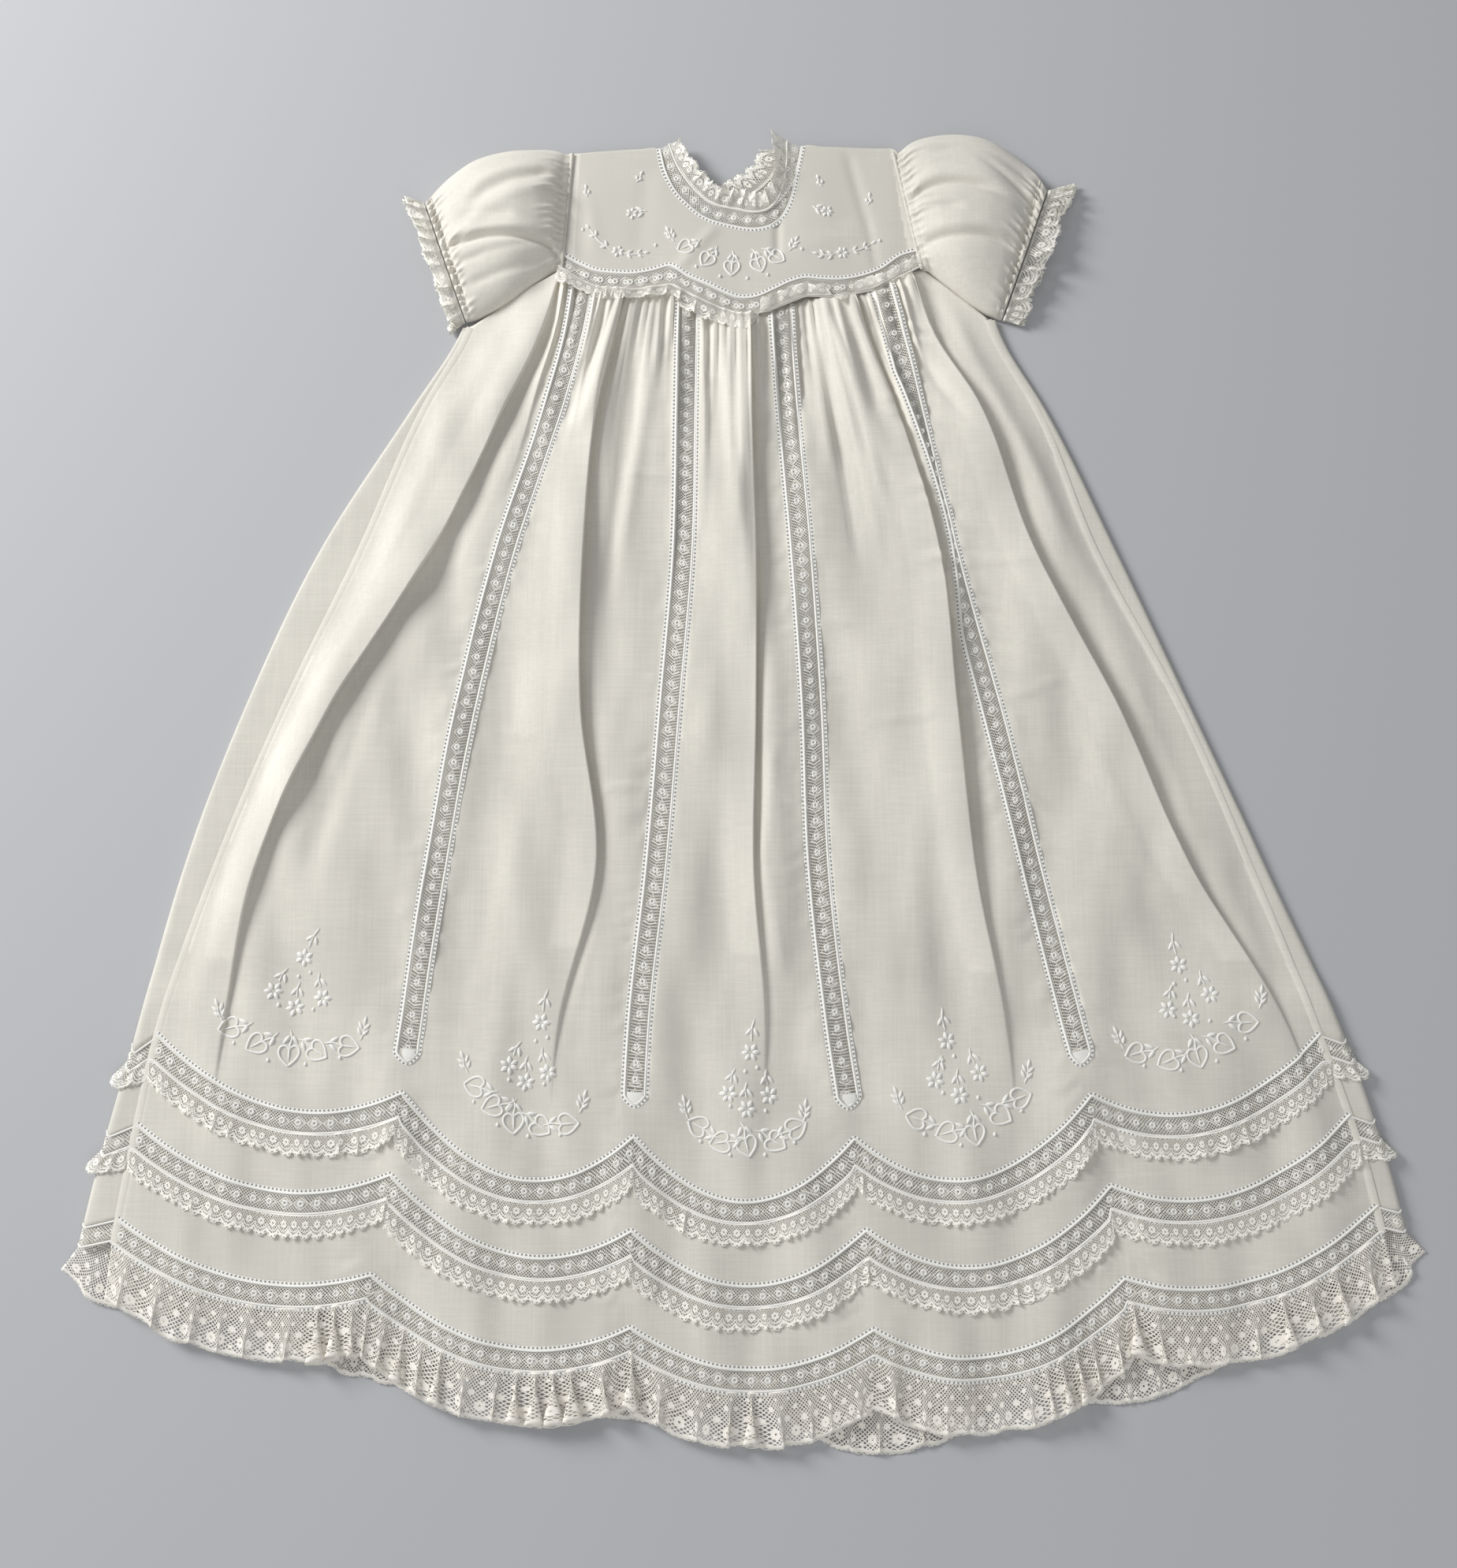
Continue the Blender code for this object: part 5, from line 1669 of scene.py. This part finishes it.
class BackSkirt(GownOperator, bpy.types.Operator):
    """Cut the back: its panel, its rows of lace and bands, folded round both sides"""

    bl_idname = "gown.back_skirt"
    bl_label = "Back skirt"

    def build(self):
        rng = np.random.default_rng(31)
        whole = back()
        grid = whole.sheet(whole.start(), whole.edge(0), 84)
        rise = wander(rng, grid[..., 0], grid[..., 1], (20, 60), 0.12)
        upper = smooth((grid[..., 2] - 2.6) / 1.0)
        grid[..., 2] += np.abs(rise) * upper
        piece = Cloth("skirt_back").add(grid, flip=True).in_batiste("back_skirt")
        for r in range(3):
            upper, lower = whole.edge(r), whole.edge(r, INSERTION)
            grid = whole.sheet(upper, lower, 5)
            uv = cut_places(lengths_along(grid[2]), np.linspace(0, INSERTION, 5)[:, None])
            cloth = Cloth(f"insertion_{r + 1}_back").add(grid, uv, flip=True)
            piece = cloth.in_lace("insertion", f"back_insertion_{r + 1}")
        for r in range(2):
            grid = whole.sheet(whole.edge(r, INSERTION), whole.edge(r + 1), 14)
            cloth = Cloth(f"band_{r + 1}_back").add(grid, flip=True)
            piece = cloth.in_batiste(f"back_band_{r + 1}")


class BackFrills(GownOperator, bpy.types.Operator):
    """Gather the lace on to the back's rows and hem, where it shows past the front"""

    bl_idname = "gown.back_frills"
    bl_label = "Back frills"

    def narrow(self, rng, r):
        whole = back()
        ys = whole.heads[r] - INSERTION
        xs = back_x(whole.shares, ys) * 1.008
        head = np.stack([xs, ys, np.full(len(ys), 0.35)], axis=1)
        cloth = Cloth(f"edging_{r + 1}_back").add(*frill_grid(
            head, straight_down(head), EDGING, rng, waves=(6, 12), rise=2.2, lean=1.4, step=1.0, rows=6
        ))
        line = whole.edge_line(r, INSERTION)
        for end, side in ((line[10:1:-1], -1), (line[-3:-12:-1], 1)):
            share = np.linspace(0, 1, len(end))[::side]
            down = unit(np.stack([side * share, share * 0 - 1, share * 0], axis=1))
            cloth.add(*frill_grid(
                end + UP * 0.3, down, EDGING, rng, waves=(5, 9), rise=1.6, lean=1.2, rows=7
            ))
        piece = cloth.in_lace("edging", f"back_edging_{r + 1}")

    def hem(self, rng):
        whole = back()
        ys = whole.heads[2] - INSERTION
        xs = back_x(whole.shares, ys)
        head = np.stack([xs, ys, np.full(len(ys), BAND_RAISE + 0.3)], axis=1)
        out = np.sign(xs) * smooth((np.abs(xs) - 325) / 28)
        fall = straight_down(head, 0.5, 60)
        fall = unit(fall + np.stack([out * 0.55, out * 0, out * 0], axis=1))
        grid, uv = frill_grid(
            head, fall, HEM_LACE, rng, waves=(9, 30), rise=2.8, lean=6.0, rows=11, fall=-1.2
        )
        along = lengths_along(grid[0])
        corner = smooth(np.minimum(along, along[-1] - along) / 16)
        grid = grid[:1] + (grid - grid[:1]) * (0.70 + 0.30 * corner)[None, :, None]
        grid[..., 2] = np.maximum(grid[..., 2], 0.25)
        piece = Cloth("hem_lace_back").add(grid, uv).in_lace("hem", "back_hem_lace")

    def build(self):
        rng = np.random.default_rng(37)
        for r in range(2):
            self.narrow(rng, r)
        self.hem(rng)


# The yoke and the neck

YOKE_STEPS = 150
TURNED_IN = 6.0  # width of the doubled cloth at the armholes


def yoke_points(rows=54):
    """Points of the front yoke, from the lace below it up to the shoulders and the neck."""
    at = np.linspace(0, 1, YOKE_STEPS)
    x0, y0, x1, y1 = table_at(YOKE_COLUMNS, at)
    share = np.linspace(0, 1, rows)[::-1, None]
    x = x0 + (x1 - x0) * share
    y = y0 + (y1 - y0) * share
    rise = YOKE_RISE * np.sin(math.pi * at) * (1 - 0.6 * share)
    rng = np.random.default_rng(5)
    z = TUBE_EDGE + CLOTH + rise + crease_height(x, y, YOKE_CREASES)
    z += wander(rng, x, y, (25, 70), 0.25)
    z = TUBE_EDGE + CLOTH + (z - TUBE_EDGE - CLOTH) * smooth(np.minimum(at, 1 - at) * 12)
    return np.stack([x, y, z], axis=-1)


class Yoke(GownOperator, bpy.types.Operator):
    """Cut the front yoke and the two halves of the back yoke"""

    bl_idname = "gown.yoke"
    bl_label = "Yoke"

    def build(self):
        grid = yoke_points()
        side = np.minimum(grid[..., 0] - grid[:, :1, 0], grid[:, -1:, 0] - grid[..., 0])
        ply_and_painted_light = np.where(side < TURNED_IN, 0.9, -0.35)
        piece = Cloth("yoke_front").add(grid, ply_and_painted_light=ply_and_painted_light).in_batiste("front_yoke")
        for side, table in (("left", BACK_YOKE_LEFT), ("right", BACK_YOKE_RIGHT)):
            x0, y0, x1, y1 = table_at(table, np.linspace(0, 1, 50))
            share = np.linspace(0, 1, 30)[::-1, None]
            x, y = x0 + (x1 - x0) * share, y0 + (y1 - y0) * share
            rng = np.random.default_rng(6)
            z = 0.75 + 0.15 * wander(rng, x, y, (25, 60), 1.0)
            cloth = Cloth(f"yoke_back_{side}").add(np.stack([x, y, z], axis=-1))
            piece = cloth.in_batiste(f"back_yoke_{side}")
            wide = 0.09 if side == "left" else 0.125
            wide * 0.08 * 0.66


def yoke_lace_lines():
    """The upper and lower seam of the lace under the yoke."""
    yoke = yoke_points(3)
    head = yoke[-1]
    foot = head.copy()
    foot[:, 1] = top_edge(SKIRT_TOP, foot[:, 0])
    share = np.linspace(0, 1, len(foot))
    for k, (x, y) in zip((0, -1), YOKE_LACE_ENDS):
        near = np.exp(-((share - share[k]) / 0.02) ** 2)
        foot[:, 0] += (x - foot[k, 0]) * near
        foot[:, 1] += (y - foot[k, 1]) * near
    foot[:, 1] = soften(foot[:, 1], 3)
    foot[:, 2] += 0.4
    return head, foot


class YokeLace(GownOperator, bpy.types.Operator):
    """Let in the shaped lace under the yoke and gather its narrow frill over the skirt"""

    bl_idname = "gown.yoke_lace"
    bl_label = "Yoke lace"

    def build(self):
        head, foot = yoke_lace_lines()
        shares = np.linspace(0, 1, 7)[:, None, None]
        grid = head + (foot - head) * shares
        uv = cut_places(lengths_along(head), np.linspace(0, INSERTION, 7)[:, None])
        piece = Cloth("yoke_lace_front").add(grid, uv).in_lace("insertion", "yoke_insertion")
        self.frill(foot)

    def frill(self, foot):
        """The frill below it, which hangs in some places and is folded up in others."""
        rng = np.random.default_rng(41)
        line, _ = resample(foot, 2.0)
        over = laid(line, front_tree(), 0.6, 7.0)
        line[:, 2] = soften(np.maximum(over[:, 2], line[:, 2]) + 0.8, 6)
        grid, uv = frill_grid(
            line, straight_down(line, 0.4, 8), EDGING, rng, waves=(7, 16), rise=3.2, lean=3.2, step=0.6
        )
        shorten = 0.74 + 0.24 * uneven(rng, np.linspace(0, 240, grid.shape[1]), 17.0)
        shorten *= np.interp(grid[0, :, 0], *zip(*FRILL_TURNS))
        move = (grid - grid[:1]) * shorten[None, :, None]
        move[..., 2] = np.abs(move[..., 2])
        grid = grid[:1] + move
        under = laid(grid[-1], front_tree(), 0.4, 6.8)
        grid[..., 2] = np.maximum(grid[..., 2], soften(under[:, 2], 4)[None, :] - 0.2)
        piece = Cloth("yoke_frill").add(grid, uv).in_lace("edging", "yoke_edging")


def neck_grid(table, low, high, rows, steps, base):
    """Points of the neck's lace between two shares of its width."""
    at = np.linspace(0, 1, steps)
    x0, y0, x1, y1, rise = table_at(table, at)
    share = np.linspace(low, high, rows)[:, None]
    x, y = x0 + (x1 - x0) * share, y0 + (y1 - y0) * share
    z = base + CLOTH + rise * share ** 1.6
    return np.stack([x, y, z], axis=-1)


class NeckLace(GownOperator, bpy.types.Operator):
    """Let in the lace round the neck and stand its narrow frill inside"""

    bl_idname = "gown.neck_lace"
    bl_label = "Neck lace"

    def build(self):
        for name, table, base, steps in NECK_LACES:
            rng = np.random.default_rng(len(name))
            grid = neck_grid(table, 0, NECK_SHARE, 6, steps, base)
            along = lengths_along(grid[2])
            uv = cut_places(along, np.linspace(0, NECK_LACE, 6)[:, None])
            cloth = Cloth(f"{name}_lace").add(grid, uv, flip=True)
            piece = cloth.in_lace("neck", f"{name}_insertion")
            grid = neck_grid(table, NECK_SHARE, 1.08, 9, steps, base)
            v = np.linspace(0, 1, 9)[:, None]
            s = lengths_along(grid[0])
            wave = np.sin(2 * math.pi * s / 9.0 + 1.5 * uneven(rng, s, 12.0))
            strength = uneven(rng, s, 14.0, 0.3, 1.3)
            rise = 1.5 if base else 0.5
            grid[..., 2] += rise * v * (1 + wave * strength)
            ahead = unit(np.gradient(grid[0], axis=0))
            grid += ahead[None] * (v * 1.6 * np.cos(2 * math.pi * s / 9.0) * strength)[..., None]
            uv = cut_places(s * 1.5, v * NECK_FRILL)
            cloth = Cloth(f"{name}_frill").add(grid, uv, flip=True)
            piece = cloth.in_lace("edging", f"{name}_edging", NECK_FRILL * MM)


# The sleeves

SLEEVE_ROWS = 90  # from the armhole to the wrist
SLEEVE_STEPS = 120  # over the upper side
UNDER_STEPS = 14  # and back along the floor
SLEEVE_EDGE = 2.4  # height of both its folds
SLEEVE_CUT = (220, 88)  # round and along the sleeve in its own cut
ARMHOLE_TAPE = (2.2, 0.6)  # width and height
WRIST_TAPE = (1.2, 0.4)
CUFF_STEPS = 260
CUFF_ROUND = 190.0  # length round the cuff


def sleeve_creases(a, q, side, rng):
    """The long folds, the gathers at both ends and the ruffle at the wrist."""
    crease = np.zeros(np.broadcast(a, q).shape)
    for a0, q0, a1, q1, rise, half in SLEEVE_FOLDS[side]:
        t = (a - a0) / (a1 - a0)
        fade = smooth((t + 0.2) / 0.35) * smooth((1.15 - t) / 0.35)
        beside = q - (q0 + (q1 - q0) * t) - 0.012 * np.sin(6 * a + 9 * q0)
        crease = crease + rise * fade * np.exp(-((beside / half) ** 2))
    place = 0.03
    while place < 0.98:
        for end, reach in ((0.0, rng.choice((0.12, 0.2, 0.34))), (WRIST_GATHER, rng.uniform(0.08, 0.26))):
            centre = place + rng.uniform(-0.01, 0.01)
            far = np.abs(a - end)
            towards = centre + (0.5 - centre) * 0.15 * far
            half = 0.011 + 0.035 * far
            fade = 1 - smooth(far / (reach * rng.uniform(0.8, 1.3)))
            crease = crease + rng.uniform(1.2, 2.7) * fade * np.exp(-(((q - towards) / half) ** 2))
        place += rng.uniform(0.045, 0.075)
    ruffle = np.sin(2 * math.pi * 15 * q + 3.0 * uneven(rng, q * 90, 14.0))
    return crease + 1.5 * ruffle * smooth((a - WRIST_GATHER + 0.02) / 0.1)


def puff_section(along, table, side, seed):
    """A grid round a puffed sleeve: upper side from fold to fold, then back along the floor."""
    ux, uy, lx, ly, height = (column[:, None] for column in table_at(table, along))
    q = np.linspace(0, 1, SLEEVE_STEPS)[None, :]
    a = along[:, None]
    bulge = np.sin(math.pi * q) ** 0.42
    full = 0.16 + 0.84 * np.sqrt(1 - (1 - np.minimum(a / 0.30, 1)) ** 2)
    full = full * (1 - 0.22 * np.exp(-(((a - WRIST_GATHER) / 0.035) ** 2)))
    z = SLEEVE_EDGE + (height - SLEEVE_EDGE) * bulge * full
    rng = np.random.default_rng(seed)
    crease = sleeve_creases(a, q, side, rng)
    calm = 0.5 + 0.5 * smooth(np.minimum(a, 1 - a) / 0.05)
    z = z + (crease - 0.4) * calm * np.minimum(bulge * 1.3, 1) + wander(rng, a * 80, q * 90, (24, 60), 0.3)
    z = np.maximum(z, np.maximum(4.1 - 60 * a, 0.5))
    inward = -np.sign(ux) * ARMHOLE_LAP * (1 - smooth(a / 0.035))
    ux, lx = ux + inward, lx + inward
    tuck = SLEEVE_TUCK * (1 - smooth((a - 0.45) / 0.45)) / np.hypot(lx - ux, ly - uy)
    lx, ly = lx + (lx - ux) * tuck, ly + (ly - uy) * tuck
    upper = np.stack([ux + (lx - ux) * q, uy + (ly - uy) * q, z], axis=-1)
    back_q = np.linspace(0.985, 0.015, UNDER_STEPS)[None, :]
    x, y = ux + (lx - ux) * back_q, uy + (ly - uy) * back_q
    under = np.stack([x, y, np.full_like(x, LEAST_LIFT)], axis=-1)
    return np.concatenate([upper, under], axis=1)


class Sleeves(GownOperator, bpy.types.Operator):
    """Puff both sleeves, gathered at the armhole and into lace at the wrist"""

    bl_idname = "gown.sleeves"
    bl_label = "Sleeves"

    def build(self):
        seams = Cloth("sleeve_seams")
        # the left sleeve's 0.4 is painted light that brightens its whole colour; the right sleeve has none
        for side, table, cuff, seed, ply_and_painted_light in (
            ("left", SLEEVE_LEFT, CUFF_LEFT, 51, 0.4), ("right", SLEEVE_RIGHT, CUFF_RIGHT, 57, 0.0)
        ):
            flip = side == "right"
            grid = puff_section(np.linspace(0, 1, SLEEVE_ROWS), table, side, seed)
            around = np.linspace(0, SLEEVE_CUT[0], grid.shape[1])
            uv = cut_places(around, np.linspace(0, SLEEVE_CUT[1], SLEEVE_ROWS)[:, None])
            cloth = Cloth(f"puff_sleeve_{side}").add(grid, uv, wrap=True, flip=flip, ply_and_painted_light=ply_and_painted_light)
            piece = cloth.in_batiste(f"sleeve_{side}")
            self.cuff(side, cuff, seed, flip)
            tape(seams, soften(grid[0, :SLEEVE_STEPS], 3) + UP * 0.2, *ARMHOLE_TAPE)
            gathered = grid[int(WRIST_GATHER * (SLEEVE_ROWS - 1)), 4:SLEEVE_STEPS - 4]
            tape(seams, soften(gathered, 1) + UP * 0.1, *WRIST_TAPE)
        seams.make(batiste(), "batiste")

    def cuff(self, side, table, seed, flip):
        """The lace that frills out past the gathered wrist, all round it."""
        rng = np.random.default_rng(seed + 1)
        ux, uy, lx, ly, height = (column[:, None] for column in table_at(table, np.linspace(0, 1, 10)))
        turn = np.linspace(0, 2 * math.pi, CUFF_STEPS, endpoint=False)[None, :]
        q = 0.5 - 0.5 * np.cos(turn)
        top = (turn < math.pi).astype(float)
        v = np.linspace(0, 1, 10)[:, None]
        x, y = ux + (lx - ux) * q, uy + (ly - uy) * q
        bulge = np.abs(np.sin(turn)) ** 0.9
        height = height * (0.80 + 0.20 * v)
        over = SLEEVE_EDGE + (height - SLEEVE_EDGE) * bulge
        z = np.where(top > 0, over, SLEEVE_EDGE - 2.0 * bulge)
        s = np.linspace(0, CUFF_ROUND, CUFF_STEPS)[None, :]
        phase = 2 * math.pi * s / 7.6 + 3.0 * uneven(rng, s, 13.0)
        strength = uneven(rng, s, 9.0, 0.45, 1.3)
        wave = 3.3 * v * np.sin(phase) + 1.1 * v * v * np.sin(2.3 * phase + 1)
        z = z + top * wave * strength * np.minimum(bulge * 1.5, 1)
        out = np.array([-1.0 if side == "left" else 1.0, 0.0, 0.0])
        grid = np.stack(np.broadcast_arrays(x, y, np.maximum(z, 0.35)), axis=-1)
        ahead = unit(np.stack([lx - ux, ly - uy, lx * 0], axis=-1))
        slide = (v * 2.4 * np.cos(phase) * strength)[..., None]
        grid = grid + ahead * slide * np.where(top > 0, 1, -1)[..., None]
        grid = grid + out * (v * (2.2 * uneven(rng, s, 7.0) - 0.6))[..., None]
        uv = cut_places(s * 1.4, v * EDGING)
        cloth = Cloth(f"cuff_frill_{side}").add(grid, uv, wrap=True, flip=not flip)
        piece = cloth.in_lace("edging", f"cuff_lace_{side}")


# The stage

def aimed(obj, place, at):
    obj.location = place
    obj.rotation_euler = (Vector(at) - Vector(place)).to_track_quat("-Z", "Y").to_euler()


class Stage(GownOperator, bpy.types.Operator):
    """Set the plain floor, the soft light and the camera over the laid gown"""

    bl_idname = "gown.stage"
    bl_label = "Stage"

    FLOOR_SIZE = 60
    CAMERA_PLACE = (-0.007, -0.131, 0.811)
    TILT = math.radians(8)
    FOCAL_SHARE = 1850 / 1989
    SENSOR = 36
    LAMPS = (
        # name, place, size, power
        ("key", (-1.75, 1.05, 1.05), 0.75, 48), ("fill", (0.4, -2.0, 1.6), 2.2, 12),
    )
    SKY = {"Color": (0.95, 0.97, 1.0, 1), "Strength": 0.34}

    def build(self):
        bpy.ops.mesh.primitive_plane_add(size=self.FLOOR_SIZE)
        floor = bpy.context.active_object
        floor.name = "floor"
        floor.data.materials.append(flat_material("floor", tuple(colours().floor), 0.95)[0])
        data = bpy.data.cameras.new("view")
        data.sensor_width = self.SENSOR
        data.lens = self.SENSOR * self.FOCAL_SHARE
        camera = bpy.data.objects.new("view", data)
        bpy.context.scene.collection.objects.link(camera)
        camera.location = self.CAMERA_PLACE
        camera.rotation_euler = (self.TILT, 0, 0)
        bpy.context.scene.camera = camera
        for name, place, size, power in self.LAMPS:
            lamp = bpy.data.lights.new(name, "AREA")
            lamp.size, lamp.energy = size, power
            light = bpy.data.objects.new(name, lamp)
            bpy.context.scene.collection.objects.link(light)
            aimed(light, place, (0, 0, 0))
        world = bpy.data.worlds.new("studio")
        world.use_nodes = True
        for name, value in self.SKY.items():
            world.node_tree.nodes["Background"].inputs[name].default_value = value
        bpy.context.scene.world = world
        bpy.context.scene.view_settings.view_transform = "Standard"


class GownPanel(bpy.types.Panel):
    """Lists the gown's pieces in the order in which they are made"""

    bl_idname = "VIEW3D_PT_gown"
    bl_label = "Christening gown"
    bl_space_type = "VIEW_3D"
    bl_region_type = "UI"
    bl_category = "Gown"

    def draw(self, context):
        for group in (context.scene.gown_sizes, context.scene.gown_colours):
            box = self.layout.box()
            for name in group.__annotations__:
                box.prop(group, name)
        for operator in OPERATORS:
            self.layout.operator(operator.bl_idname)


OPERATORS = (
    Stage, BackSkirt, BackFrills, FrontSkirt, HemRows, Strips, Frills, Yoke, YokeLace, NeckLace,
    Sleeves, LaceSeams, RingFlowers, Embroidery,
)
CLASSES = (GownSizes, GownColours, *OPERATORS, GownPanel)


def register():
    for cls in CLASSES:
        bpy.utils.register_class(cls)
    bpy.types.Scene.gown_sizes = PointerProperty(type=GownSizes)
    bpy.types.Scene.gown_colours = PointerProperty(type=GownColours)


def unregister():
    del bpy.types.Scene.gown_sizes
    del bpy.types.Scene.gown_colours
    for cls in reversed(CLASSES):
        bpy.utils.unregister_class(cls)


def main():
    register()
    for operator in OPERATORS:
        family, name = operator.bl_idname.split(".")
        getattr(getattr(bpy.ops, family), name)()


if __name__ == "__main__":
    main()
